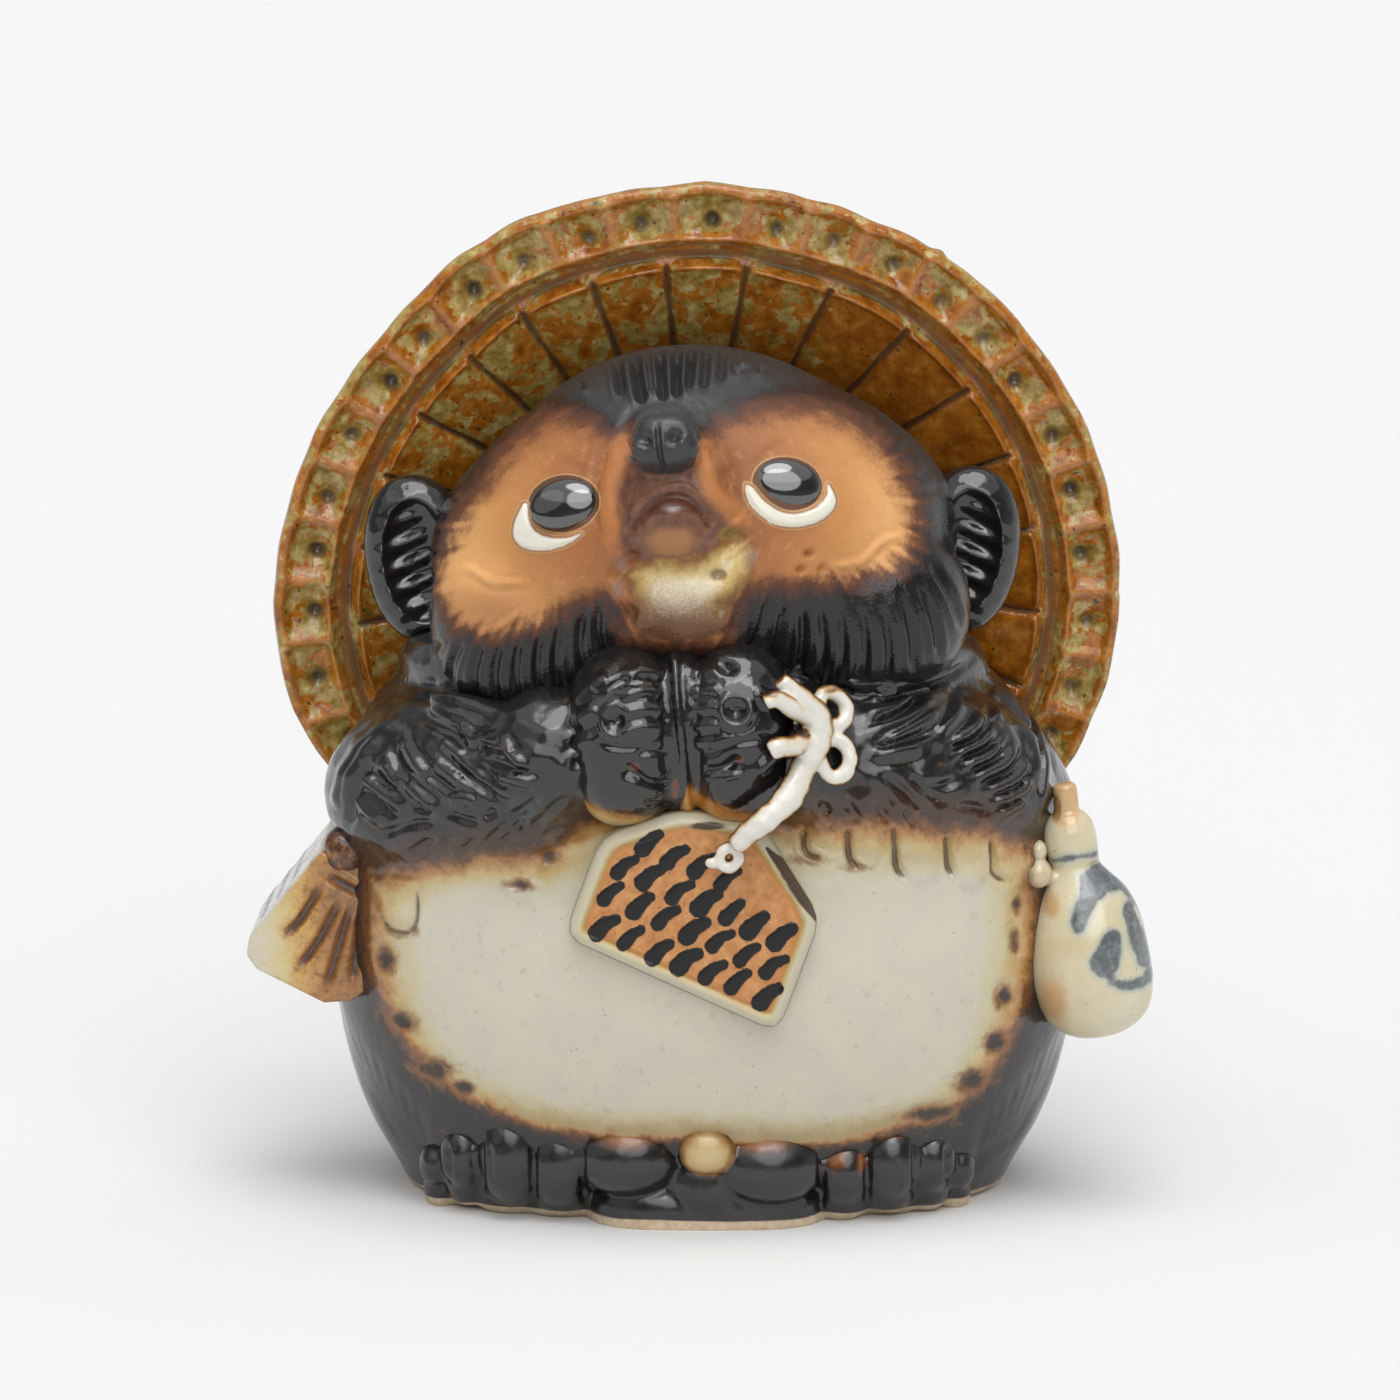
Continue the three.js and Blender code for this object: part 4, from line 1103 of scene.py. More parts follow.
# Ears: round cups set against the hat at each side of the head, ribbed inside. One is modelled
# and copied across; both are glazed black with the fur.
ear = lump((0, 0, 0), (9.6, 6.5, 15), squareness=2.2)
ear = fuse([ear], "ear", coarseness=0.36, softened=6)
co, facing, flat = front_view(ear)
x, z = flat.T
front = co[:, 1] < 0
r = np.hypot((x + 0.2) / 6.3, z / 11.2)
cup_depth, rib_height, rib_spacing = 4.2, 0.75, 3.9
cup = np.clip(1 - r**3, 0, 1) * front
ribs = np.cos((z + 0.25 * x) * 2 * math.pi / rib_spacing) * np.clip(1.35 - r, 0, 1)
ribs *= np.clip(x * 0.25 + 0.9, 0.2, 1)
co[:, 1] += cup_depth * cup ** 0.8 - rib_height * ribs * front * np.clip(-facing[:, 1] * 3, 0, 1)
move(ear, co)
sponge(ear, 2)
pick([ear])
bpy.ops.object.duplicate()
ears = [ear, bpy.context.object]
move(ears[1], points(ears[1]) * (-1, 1, 1))
bpy.ops.object.mode_set(mode="EDIT")
bpy.ops.mesh.select_all(action="SELECT")
bpy.ops.mesh.flip_normals()
bpy.ops.object.mode_set(mode="OBJECT")
for piece, side, name in ((ears[0], 1, "ear_right"), (ears[1], -1, "ear_left")):
    piece.name = piece.data.name = name
    spin = np.array(Euler((0, math.radians(8 * side), 0)).to_matrix())
    move(piece, points(piece) @ spin.T + (48.5 * side - 1.4, -7, 115.5 + 0.8 * side))
    note(piece, "hollow", hollows(piece))


def ear_paint(tree):
    gloss = level(tree, 0.10, 0.18, patches(tree, 0.45, 0.7, 5, 2))
    return black_glaze(tree), gloss, [(grain(tree, 3.5, 2), 0.25), (grain(tree, 0.7, 2), 0.015)]


glaze("ear_glaze", ears, ear_paint)
for piece in ears:
    settle(piece)

# Pupils: two glossy black domes of glaze laid thick on the face, looking up.
for name, at, radii, turn in (
    ("pupil_left", (-23.3, -43.9, 128.9), (6.0, 1.9, 4.35), (-24, -7, -13)),
    ("pupil_right", (14.9, -44.3, 132.5), (5.9, 1.9, 4.25), (-24, 6, 11)),
):
    pupil = lump(at, radii, turn, segments=96)
    pupil.name = pupil.data.name = name
    glaze(name + "_glaze", [pupil], lambda tree: (
        graded(tree, grain(tree, 2, 2), [(0.3, (0.007, 0.007, 0.008)), (0.7, (0.013, 0.012, 0.012))]),
        level(tree, 0.06, 0.09, grain(tree, 3, 2)),
        [(grain(tree, 4, 2), 0.05)],
    ), 2.2)
    settle(pupil)

# Hat: a wide round straw hat worn on the back of the head, thrown with the figure and glazed amber.
# Its rim is pressed with a ring of thumb marks and its inside is cut into panels like woven straw.
rim_radius = 76.8
front_shares = np.concatenate([
    [0, 0.2, 0.36], np.linspace(0.42, 0.79, 22), np.linspace(0.795, 0.885, 20),
    np.linspace(0.89, 0.986, 24), [0.992, 0.998],
])
front_depths = np.interp(front_shares, [0, 0.805, 0.83, 0.86, 0.875, 0.93, 0.985, 1.0], [
    25, 0.9, 1.7, 0.5, -0.9, -0.7, -0.9, -0.7,
])
back_shares = np.concatenate([[1.004, 1.006, 1.003, 0.995, 0.98], np.linspace(0.95, 0, 22)])
back_depths = np.interp(
    back_shares[::-1], [0, 0.3, 0.55, 0.78, 0.95, 0.98, 0.995, 1.003, 1.006, 1.008],
    [28.5, 23.6, 16.4, 8.6, 4.4, 3.4, 2.4, 1.4, 0.6, 0.0],
)[::-1]
shares = np.concatenate([front_shares, back_shares])
depths = np.concatenate([front_depths, back_depths])
spokes_round = 864
bpy.ops.object.select_all(action="DESELECT")
bpy.ops.mesh.primitive_grid_add(x_subdivisions=spokes_round, y_subdivisions=len(shares) - 1, size=2)
hat = bpy.context.object
hat.name = hat.data.name = "straw_hat"
co = points(hat)
angle = (co[:, 0] + 1) * math.pi
ring = np.round((co[:, 1] + 1) / 2 * (len(shares) - 1)).astype(int)
share, depth = shares[ring], depths[ring]
front = ring < len(front_shares)
degrees = np.degrees(angle) % 360
marks = [
    -9.5, 0.6, 10.8, 20.5, 29.9, 39.6, 49.0, 57.5, 66.8, 75.4, 83.9, 94.5, 103.4, 112.3, 121.3, 130.6,
    140.0, 149.3, 158.7, 167.6, 176.9, 185.9, 198.1, 206.6,
]
marks += list(np.linspace(206.6, 350.5, 17)[1:-1])
panels = [
    -3.4, 11.6, 25.0, 38.7, 53.4, 68.1, 82.7, 96.1, 108.7, 121.3, 132.7, 145.7, 157.8, 171.0, 184.5,
    198.1,
]
panels += list(np.linspace(198.1, 356.6, 13)[1:-1])


def spaced(degrees, places):
    """How far each angle is from the nearest line and from the middle of its cell, half the cell's
    width, and the cell's number."""
    places = np.sort(np.asarray(places) % 360)
    wrapped = np.concatenate([[places[-1] - 360], places, [places[0] + 360]])
    cell = np.searchsorted(wrapped, degrees) - 1
    low, high = wrapped[cell], wrapped[cell + 1]
    return np.minimum(degrees - low, high - degrees), degrees - (low + high) / 2, (high - low) / 2, cell


hand = np.random.default_rng(7)


def by_hand(low, high, cell):
    """A value for each cell, a little different from one to the next."""
    return hand.uniform(low, high, 60)[cell]


off, from_middle, half, cell = spaced(degrees, marks)
arc = np.radians(off) * share * rim_radius
tilt_marks = by_hand(-0.12, 0.12, cell)
arc_middle = np.radians(from_middle) * share * rim_radius + tilt_marks * (share - 0.93) * rim_radius
band = rising(share, 0.868, 0.880) * rising(share, 0.992, 0.984) * front
wall = swell(arc, 1.25) * by_hand(0.65, 1.1, cell)
inset = rising(share, 0.870, 0.900) * rising(share, 0.990, 0.964)
inset *= inset * (3 - 2 * inset)
deep = by_hand(0.85, 1.35, cell)
aside = by_hand(-1.1, 1.1, cell)
nearer = by_hand(-0.012, 0.010, cell)
pit = swell(arc_middle - aside, 1.7) * swell((share - 0.920 - nearer) * rim_radius, 1.9) * band
press = band * (1.15 * deep * inset * (1 - wall) * np.clip(arc / 2.6, 0, 1) ** 0.7 + 1.8 * deep * pit)
ridges = band * (0.40 * wall + 0.30 * (1 - inset))
off_panel, from_panel, half_panel, cell_panel = spaced(degrees, panels)
arc_panel = np.radians(off_panel) * share * rim_radius
inner = rising(share, 0.814, 0.806) * rising(share, 0.2, 0.4) * front
cut = swell(arc_panel, 0.62 + 0.16 * np.sin(share * 40 + degrees)) * inner
crown = inner * (1 - (from_panel / half_panel) ** 2) * 0.9
end = 0.806 - 0.012 * (from_panel / half_panel) ** 4
lip = swell(share - end, 0.007) * front * (1 - 0.85 * swell(arc_panel, 1.1))
trough = swell(share - 0.838, 0.012) * front
crescent = swell(share - end - 0.021, 0.0085) * front
crescent *= np.clip(1.25 - 1.25 * (from_panel / half_panel) ** 2, 0, 1)
step = swell(share - 0.857 - 0.005 * np.sin(np.radians(degrees * 13)), 0.004) * front
depth = depth + press - ridges + 1.2 * cut - crown - 0.55 * lip
depth += 0.35 * trough + 0.6 * crescent + 0.35 * step
depth += by_hand(-0.3, 0.3, cell_panel) * inner
depth -= 0.25 * np.sin(np.radians(degrees * 5 + 40)) * np.clip(share - 0.8, 0, 1) * 5
wave = np.interp(degrees, np.arange(0, 361, 6), np.concatenate([hand.uniform(-0.35, 0.35, 60), [0]]))
scallop = 0.10 * np.cos(np.pi * from_middle / half) + wave
radius = share * rim_radius + rising(share, 0.93, 1) * scallop
trimmed_at = [
    0, 12, 44, 52, 60, 68, 76, 84, 108, 116, 124, 132, 148, 164, 172, 180, 196, 204, 212, 225, 320, 332,
    340, 350, 360,
]
trimmed_by = [
    0.3, 0.65, 0.85, 0.5, 0.3, 0.9, 1.2, 0.4, 0.35, -0.2, -0.2, 1.2, 1.4, 1.1, 0.65, 0.1, 0.3, 1.8, 3.4,
    1.8, 1.0, 1.6, 0.7, 0.2, 0.3,
]
radius -= np.interp(degrees, trimmed_at, trimmed_by) * rising(share, 0.5, 1)
from_nick = (degrees - 56.5 + 180) % 360 - 180
radius += 0.7 * swell(from_nick, 1) * rising(share, 0.96, 1)
from_bead = np.radians((degrees - 11.0 + 180) % 360 - 180) * share * rim_radius
depth -= 1.1 * swell(from_bead, 1.1) * swell((share - 0.792) * rim_radius, 1.3) * front
# The outside is plain, with the rings and the radial splits of plaited straw.
outside = ~front & (share < 0.975)
rings = 0.30 * np.cos(share * 2 * math.pi * 13)
splits = 0.45 * swell(arc_panel, 0.8) * (share > 0.2)
depth += outside * (rings - splits) * np.clip(share * 4, 0, 1)
co = np.stack([radius * np.cos(angle), depth, radius * np.sin(angle)], 1)
tipped_back, turned_aside = math.radians(9.7), math.radians(3.2)
lean = np.array(Euler((tipped_back, 0, turned_aside), "XYZ").to_matrix())
move(hat, co @ lean.T + (0, 13, 104.8))
for name, values in (
    ("pit", pit * deep), ("wall", np.maximum(band * wall * 0.9, band * (1 - inset))), ("cut", cut),
    ("lip", lip), ("crescent", crescent),
    ("trough", np.maximum(trough, step)), ("inner", inner), ("outer", 1.0 * ~front),
    ("side", np.cos(angle) * share), ("sunken", press),
    # painted shade of the panels towards the head
    ("painted_shade_near_head", rising(share, 0.72, 0.52) * front),
):
    note(hat, name, values)
bpy.ops.object.mode_set(mode="EDIT")
bpy.ops.mesh.select_all(action="SELECT")
bpy.ops.mesh.remove_doubles(threshold=0.001)
bpy.ops.mesh.normals_make_consistent(inside=False)
bpy.ops.object.mode_set(mode="OBJECT")


def hat_paint(tree):
    blotch = level(tree, grain(tree, 4.6, 4, 0.58), grain(tree, 1.5, 3, 0.6), 0.36)
    rust = graded(tree, grain(tree, 2.6, 4, 0.6), [
        (0.3, (0.22, 0.055, 0.003)), (0.46, (0.36, 0.115, 0.007)), (0.6, (0.48, 0.175, 0.016)),
        (0.75, (0.62, 0.30, 0.075)),
    ])
    olive = graded(tree, grain(tree, 2.2, 4, 0.6), [
        (0.3, (0.20, 0.115, 0.016)), (0.45, (0.35, 0.23, 0.05)), (0.6, (0.50, 0.37, 0.12)),
        (0.75, (0.68, 0.54, 0.27)),
    ])
    side = ragged(tree, "side", 0.35, 16, 2)
    right = share_of(tree, side, 0.0, 0.55)
    rusty = sums(tree, "MULTIPLY", measure(tree, "inner"), right)
    pooled = sums(tree, "ADD", blotch, sums(tree, "MULTIPLY", measure(tree, "sunken"), 0.035))
    for drier, by in (
        (measure(tree, "wall"), 0.09), (measure(tree, "lip"), 0.13), (rusty, 0.15), (right, 0.028),
    ):
        pooled = sums(tree, "SUBTRACT", pooled, sums(tree, "MULTIPLY", drier, by))
    colour = over(tree, rust, olive, share_of(tree, pooled, 0.475, 0.535))
    edge_run = share_of(
        tree, sums(tree, "ABSOLUTE", sums(tree, "SUBTRACT", pooled, 0.488), 0.0), 0.016, 0.004,
    )
    colour = over(tree, colour, (0.50, 0.155, 0.008), edge_run, 0.65)
    deep_rust = sums(tree, "MULTIPLY", rusty, patches(tree, 0.32, 0.62, 5, 4, 0.6))
    colour = over(tree, colour, (0.235, 0.066, 0.004), deep_rust, 0.75)
    colour = over(
        tree, colour, (0.50, 0.235, 0.085),
        share_of(tree, ragged(tree, "wall", 0.4, 3, 4, 0.6), 0.35, 0.95), 0.45,
    )
    pit = ragged(tree, "pit", 0.22, 1.8, 3)
    colour = layered(tree, colour, [
        ((0.15, 0.095, 0.04), pit, 0.30, 0.85, 0.85),
        ((0.065, 0.045, 0.032), pit, 0.75, 1.15, 0.85),
    ])
    # The dark brown line along the groove between rim and panels, and the dark olive crescents above each
    # panel's lip, are painted shade in the groove.
    trough = ragged(tree, "trough", 0.30, 3, 3)
    colour = over(tree, colour, (0.27, 0.135, 0.062), share_of(tree, trough, 0.30, 0.85), 0.85)
    crescent = ragged(tree, "crescent", 0.25, 2.6, 4, 0.6)
    colour = over(tree, colour, (0.115, 0.085, 0.030), share_of(tree, crescent, 0.45, 0.95), 0.8)
    cut = ragged(tree, "cut", 0.22, 2.4, 3)
    colour = layered(tree, colour, [
        ((0.16, 0.09, 0.045), cut, 0.15, 0.8, 0.75),
        ((0.085, 0.05, 0.028), cut, 0.8, 1.15, 0.6),
    ])
    # The panels darken towards the head: painted shade.
    colour = over(tree, colour, (0.07, 0.026, 0.003), measure(tree, "painted_shade_near_head"), 0.7)
    hole = patches(tree, 0.80, 0.83, 1.3, 0)
    colour = over(tree, colour, (0.04, 0.02, 0.01), hole, 0.8)
    worn = sums(tree, "MULTIPLY", measure(tree, "outer"), patches(tree, 0.3, 0.6, 9, 4))
    colour = over(tree, colour, (0.34, 0.22, 0.10), worn, 0.55)
    gloss = level(tree, 0.11, 0.22, share_of(tree, blotch, 0.42, 0.62))
    return colour, gloss, [(grain(tree, 3.2, 3), 0.40), (grain(tree, 0.8, 2), 0.03)]


glaze("amber_glaze", [hat], hat_paint, shine=1.55)
settle(hat, kept=0.76)

# Cord and bow: a soft white cord tied in a bow between the right paw and the arm, hanging down to
# the tablet. It is rolled from thin coils of clay, pressed on and covered with white glaze.


def coil(path, radius):
    """A roll of clay drawn along a path of (across, back, up) points, with its radii along the way."""
    path = flowing(path, 8)
    form = lump((0, 0, 0), (1, 1, 1), segments=56)
    co = points(form)
    high = np.clip(co[:, 2], -1, 1)
    share = (high + 1) / 2
    bluntness = 8
    round_end = (1 - np.abs(high) ** bluntness) ** (1 / bluntness)
    place = share * (len(path) - 1)
    middle = np.stack([np.interp(place, np.arange(len(path)), path[:, k]) for k in range(3)], 1)
    run = np.gradient(path, axis=0)
    run = np.stack([np.interp(place, np.arange(len(path)), run[:, k]) for k in range(3)], 1)
    run /= np.maximum(np.linalg.norm(run, axis=1, keepdims=True), 1e-9)
    side = np.cross(run, np.array([0, 1.0, 0.02]))
    side /= np.maximum(np.linalg.norm(side, axis=1, keepdims=True), 1e-9)
    rise = np.cross(side, run)
    ring = np.maximum(np.hypot(co[:, 0], co[:, 1]), 1e-9)
    thick = np.interp(share, np.linspace(0, 1, len(radius)), radius) * round_end
    co = middle + (side * (co[:, 0] / ring)[:, None] + rise * (co[:, 1] / ring)[:, None]) * thick[:, None]
    move(form, co)
    return form


cord = fuse([
    coil(
        [
            (14.6, -54, 99.6), (17.4, -53, 96.6), (20.0, -51.5, 93.8), (21.0, -51, 91.0),
            (20.4, -51.5, 87.7), (18.8, -52.5, 84.0),
        ],
        [1.5, 2.1, 2.6, 2.8, 2.7, 2.1],
    ),
    coil(
        [(19.9, -51, 92.4), (16.8, -54.5, 94.6), (14.0, -56.5, 96.6), (12.0, -57.0, 96.0)],
        [2.0, 1.7, 1.5, 1.4],
    ),
    coil(
        [(20.0, -51, 89.4), (17.0, -54.5, 88.4), (14.4, -56.8, 88.4), (12.8, -57.2, 87.6)],
        [2.0, 1.9, 1.9, 1.7],
    ),
    coil(
        [
            (21.4, -50, 93.4), (21.6, -48.6, 96.0), (23.6, -47.6, 96.4), (25.6, -47.4, 94.6),
            (25.9, -48, 92.4), (24.6, -49, 91.0), (22.0, -50.4, 91.4),
        ],
        [1.3, 1.4, 1.4, 1.5, 1.4],
    ),
    coil(
        [
            (21.6, -51, 88.0), (23.9, -50, 88.8), (26.0, -50, 87.4), (26.5, -50.5, 85.0),
            (25.2, -51, 82.8), (23.0, -51.5, 82.6), (21.7, -51.6, 84.8), (21.4, -51.6, 87.0),
        ],
        [1.3, 1.4, 1.4, 1.3, 1.1],
    ),
    coil(
        [
            (19.4, -51.5, 86.6), (18.0, -52.5, 83.2), (15.9, -54.6, 80.4), (13.3, -56.4, 78.2),
            (10.7, -57, 76.2), (8.0, -56.5, 74.0), (5.9, -55.6, 71.8),
        ],
        [2.2, 2.1, 2.3, 2.0, 2.3, 2.1, 2.0],
    ),
    coil(
        [
            (6.0, -54.8, 71.4), (6.6, -54.6, 69.4), (5.0, -54.5, 67.9), (3.4, -54.6, 69.0),
            (4.0, -54.8, 71.0), (5.6, -54.8, 71.6),
        ],
        [1.2, 1.2, 1.1, 1.2],
    ),
    lump((2.0, -54.6, 68.6), (1.3, 0.9, 1.1), segments=16),
], "cord_and_bow", coarseness=0.28, softened=4)
co = points(cord)
co[:, [0, 2]] += rising(co[:, 2:], 78, 84) * (-1.0, 0.6)
knobbly = 0.12 * np.sin(co[:, 0] * 1.1 + co[:, 2] * 0.7) * np.sin(co[:, 2] * 1.4 + 1)
move(cord, co + outward(cord) * knobbly[:, None])
note(cord, "side_on", 1 + outward(cord)[:, 1])
co = points(cord)
note(cord, "brown", sinks(co[:, [0, 2]], [
    (18.0, 91.0, 1.1, 1.0), (12.2, 98.0, 1.2, 0.8), (24.0, 81.4, 2.6, 0.8), (27.3, 92.0, 0.8, 2.2),
    (5.0, 69.6, 1.0, 1.0), (12.8, 86.0, 1.6, 0.8), (22.3, 97.4, 1.6, 0.6),
]))


def cord_paint(tree):
    edge = ragged(tree, "side_on", 0.30, 2.0, 3, 0.6)
    edge = sums(tree, "ADD", edge, sums(tree, "MULTIPLY", measure(tree, "brown"), 0.55))
    colour = graded(tree, edge, [
        (0.22, (0.72, 0.695, 0.63)), (0.42, (0.68, 0.60, 0.45)), (0.56, (0.46, 0.28, 0.11)),
        (0.70, (0.20, 0.085, 0.03)), (0.9, (0.07, 0.03, 0.014)),
    ])
    gloss = level(tree, 0.16, 0.30, patches(tree, 0.4, 0.7, 4, 2))
    return colour, gloss, [(grain(tree, 2.2, 2), 0.15), (grain(tree, 0.5, 2), 0.02)]


glaze("white_cord_glaze", [cord], cord_paint)
settle(cord)

# Wish tablet: a small house-shaped plaque hung from the cord over the belly. It is a flat slab
# left nearly bare, framed in cream glaze, with rows of thick black brush dabs across it.


def slab(outline, front, depth, name, coarseness, softened):
    """A flat piece cut to an outline of (across, up) points, with its corners softened."""
    bpy.ops.object.select_all(action="DESELECT")
    bpy.ops.mesh.primitive_circle_add(vertices=len(outline), radius=1, fill_type="NGON")
    form = bpy.context.object
    move(form, np.array([(x, front, z) for x, z in outline], float))
    bpy.ops.object.mode_set(mode="EDIT")
    bpy.ops.mesh.select_all(action="SELECT")
    bpy.ops.mesh.extrude_region_move(TRANSFORM_OT_translate={"value": (0, depth, 0)})
    bpy.ops.mesh.select_all(action="SELECT")
    bpy.ops.mesh.normals_make_consistent(inside=False)
    bpy.ops.object.mode_set(mode="OBJECT")
    return fuse([form], name, coarseness, softened)


house = [(-23.4, 54.8), (-17.0, 72.2), (-3.6, 77.0), (10.4, 74.8), (20.8, 58.0), (13.4, 37.9)]
turns = []
for corner, last, after in zip(*(np.roll(np.array(house), k, 0) for k in (0, 1, -1))):
    last = (last - corner) / np.linalg.norm(last - corner)
    after = (after - corner) / np.linalg.norm(after - corner)
    turns += [tuple(corner + last * 3), tuple(corner + (last + after) * 0.8), tuple(corner + after * 3)]
house = turns
tablet = slab(house, -50.9, 7.5, "wish_tablet", coarseness=0.30, softened=30)
co = points(tablet)
flat = co[:, [0, 2]]
margin = rimmed(flat, house) + 0.7
brush = np.random.default_rng(3)
across, upwards = np.array([0.914, -0.405]), np.array([0.405, 0.914])
ink = np.full(len(flat), -9.0)
for row_height, first, last in ((2.2, 3.4, 34), (7.6, 2.2, 35), (13.0, 2.0, 33), (18.4, 4.0, 22)):
    for place in np.arange(first, last, 5.0):
        foot = np.array([-21.3, 55.2]) + across * (place + brush.uniform(-0.4, 0.4))
        foot = foot + upwards * (row_height + brush.uniform(-0.4, 0.4))
        path = [
            foot, foot + across * 0.6 + upwards * 1.9,
            foot + across * brush.uniform(1.2, 2.2) + upwards * 3.4,
        ]
        off, share = along(flat, flowing(path))
        ink = np.maximum(ink, brush.uniform(1.2, 1.7) * (1.05 - 0.35 * share) - off)
front = co[:, 1] < -49.5
rounded_edge = 1.9 * np.clip(1 - margin / 2.4, 0, 1) ** 1.6
sunk = rounded_edge - 0.3 * swell(margin - 2.3, 0.7) + 0.3 * swell(margin - 3.3, 0.45)
sunk -= 0.22 * np.clip(ink / 0.5 + 0.3, 0, 1)
co[:, 1] += sunk * front
move(tablet, co)
note(tablet, "margin", np.where(front, margin, 0))
note(tablet, "ink", np.where(front, ink, -9))
# A dark brown band is painted along the upper right edge of the tablet, with a short one at its top.
off, share = along(flat, flowing([(11.4, 70.6), (14.6, 66.6), (18.0, 61.4), (20.4, 57.2)]))
dark_edge_band = swell(off, 0.3 + 4.4 * share * (1 - share))
note(tablet, "dark_edge_band", front * np.maximum(dark_edge_band, sinks(flat, [(1.4, 74.4, 3.8, 0.9)])))


def tablet_paint(tree):
    clay_colour = graded(tree, grain(tree, 2.4, 5, 0.65), [
        (0.3, (0.42, 0.165, 0.052)), (0.5, (0.54, 0.245, 0.088)), (0.7, (0.64, 0.33, 0.135)),
    ])
    speck = patches(tree, 0.70, 0.76, 0.7, 1)
    clay_colour = over(tree, clay_colour, (0.16, 0.075, 0.03), speck, 0.6)
    margin = ragged(tree, "margin", 0.45, 2.5, 4, 0.6)
    frame_colour = graded(tree, margin, [
        (0.4, (0.56, 0.51, 0.37)), (1.6, (0.585, 0.54, 0.41)), (2.3, (0.57, 0.51, 0.35)),
        (2.9, (0.54, 0.42, 0.20)), (3.3, (0.46, 0.25, 0.08)), (3.8, (0.52, 0.22, 0.06)),
        (4.6, (0.56, 0.25, 0.08)),
    ])
    colour = over(tree, frame_colour, clay_colour, share_of(tree, margin, 3.5, 4.6))
    # dark brown band along the upper right edge and at the top
    dark_edge_band = ragged(tree, "dark_edge_band", 0.2, 2, 3)
    colour = over(tree, colour, (0.045, 0.020, 0.011), share_of(tree, dark_edge_band, 0.35, 0.7), 0.92)
    ink = ragged(tree, "ink", 0.30, 0.9, 3, 0.6)
    inked = share_of(tree, ink, -0.12, 0.12)
    colour = over(tree, colour, (0.010, 0.0095, 0.0095), inked)
    gloss = level(tree, 0.20, 0.55, share_of(tree, margin, 2.8, 3.8))
    gloss = level(tree, gloss, 0.32, inked)
    return colour, gloss, [(grain(tree, 1.2, 3), 0.06), (grain(tree, 0.35, 2), 0.02)]


glaze("bare_tablet_clay", [tablet], tablet_paint, shine=1.42)
settle(tablet, kept=0.7)

# Account book: a thick bound ledger hanging at the left hip, its page edges to the front. It is
# pressed on as one block, its leaves cut in with a blunt tool, and washed in cream and blue grey.
cover = [
    (-55.5, 61.5), (-61.5, 63.2), (-67.2, 64.6), (-79.6, 49.4), (-80.2, 46.0), (-78.4, 43.4),
    (-66.6, 37.4), (-61.8, 37.6), (-56.5, 41.5),
]
ledger = slab(cover, -22.5, 31, "account_book", coarseness=0.36, softened=9)
co, facing, flat = front_view(ledger)
front = np.clip(-facing[:, 1] * 3 - 0.5, 0, 1)
leaf_width, leaf_depth = 1.7, 0.9
leaf_cuts = [
    [(-66.8, 58.6), (-70.2, 52.8), (-73.4, 49.4)], [(-63.2, 56.2), (-67.2, 48.8), (-71.2, 43.4)],
    [(-61.4, 55.4), (-64.0, 46.8), (-66.2, 39.6)], [(-65.8, 60.4), (-62.4, 58.4), (-58.6, 56.6)],
    [(-60.2, 54.2), (-60.6, 47), (-61.6, 41)],
]
sunk = tooled(flat, [(path, leaf_width, leaf_depth) for path in leaf_cuts], 0.35) * front
cover_side = np.clip(-(facing[:, 0] * 0.77 - facing[:, 2] * 0.64) * 3 - 1, 0, 1)
leaf = np.stack([co[:, 1], (co[:, 0] + 74) * 0.64 + (co[:, 2] - 56) * 0.77], 1)
brush = [[(y, v), (y + 3.2, v + 0.9)] for y in (-14, -8, -2, 4) for v in (-6, -1.5, 3)]
stroke = np.full(len(co), -9.0)
for path in brush:
    off, _ = along(leaf, np.array(path))
    stroke = np.maximum(stroke, 1.0 - off)
co -= facing * (sunk - 0.15 * np.clip(stroke, 0, 1) * cover_side)[:, None]
move(ledger, co)
note(ledger, "cover", cover_side)
note(ledger, "brush", np.where(cover_side > 0.3, stroke, -9))
note(ledger, "cut", np.clip(sunk / leaf_depth, 0, 1))
note(ledger, "toast", rising(co[:, 0], -78, -64))


def ledger_paint(tree):
    toast = ragged(tree, "toast", 0.32, 4, 4, 0.6)
    colour = graded(tree, toast, [
        (0.0, (0.60, 0.55, 0.42)), (0.3, (0.60, 0.48, 0.22)), (0.5, (0.58, 0.35, 0.11)),
        (0.8, (0.44, 0.215, 0.06)), (1.1, (0.30, 0.135, 0.045)),
    ])
    cut = ragged(tree, "cut", 0.42, 1.6, 4, 0.65)
    colour = layered(tree, colour, [
        ((0.27, 0.11, 0.032), cut, 0.04, 0.40, 1),
        ((0.075, 0.038, 0.024), cut, 0.42, 0.9, 1),
    ])
    cover = measure(tree, "cover")
    colour = over(tree, colour, (0.52, 0.51, 0.46), cover)
    wash = share_of(tree, ragged(tree, "brush", 0.4, 1.6, 3), 0.0, 0.35)
    colour = over(tree, colour, (0.10, 0.115, 0.13), wash, 0.85)
    dark = sums(tree, "MULTIPLY", patches(tree, 0.49, 0.62, 1.4, 5, 0.8), share_of(tree, toast, 0.25, 0.8))
    colour = over(tree, colour, (0.17, 0.07, 0.025), dark, 0.75)
    gloss = level(tree, 0.18, 0.36, patches(tree, 0.4, 0.7, 4, 3))
    return colour, gloss, [(grain(tree, 3, 3), 0.2), (grain(tree, 0.6, 2), 0.03)]


glaze("ledger_wash", [ledger], ledger_paint)
settle(ledger, kept=0.8)

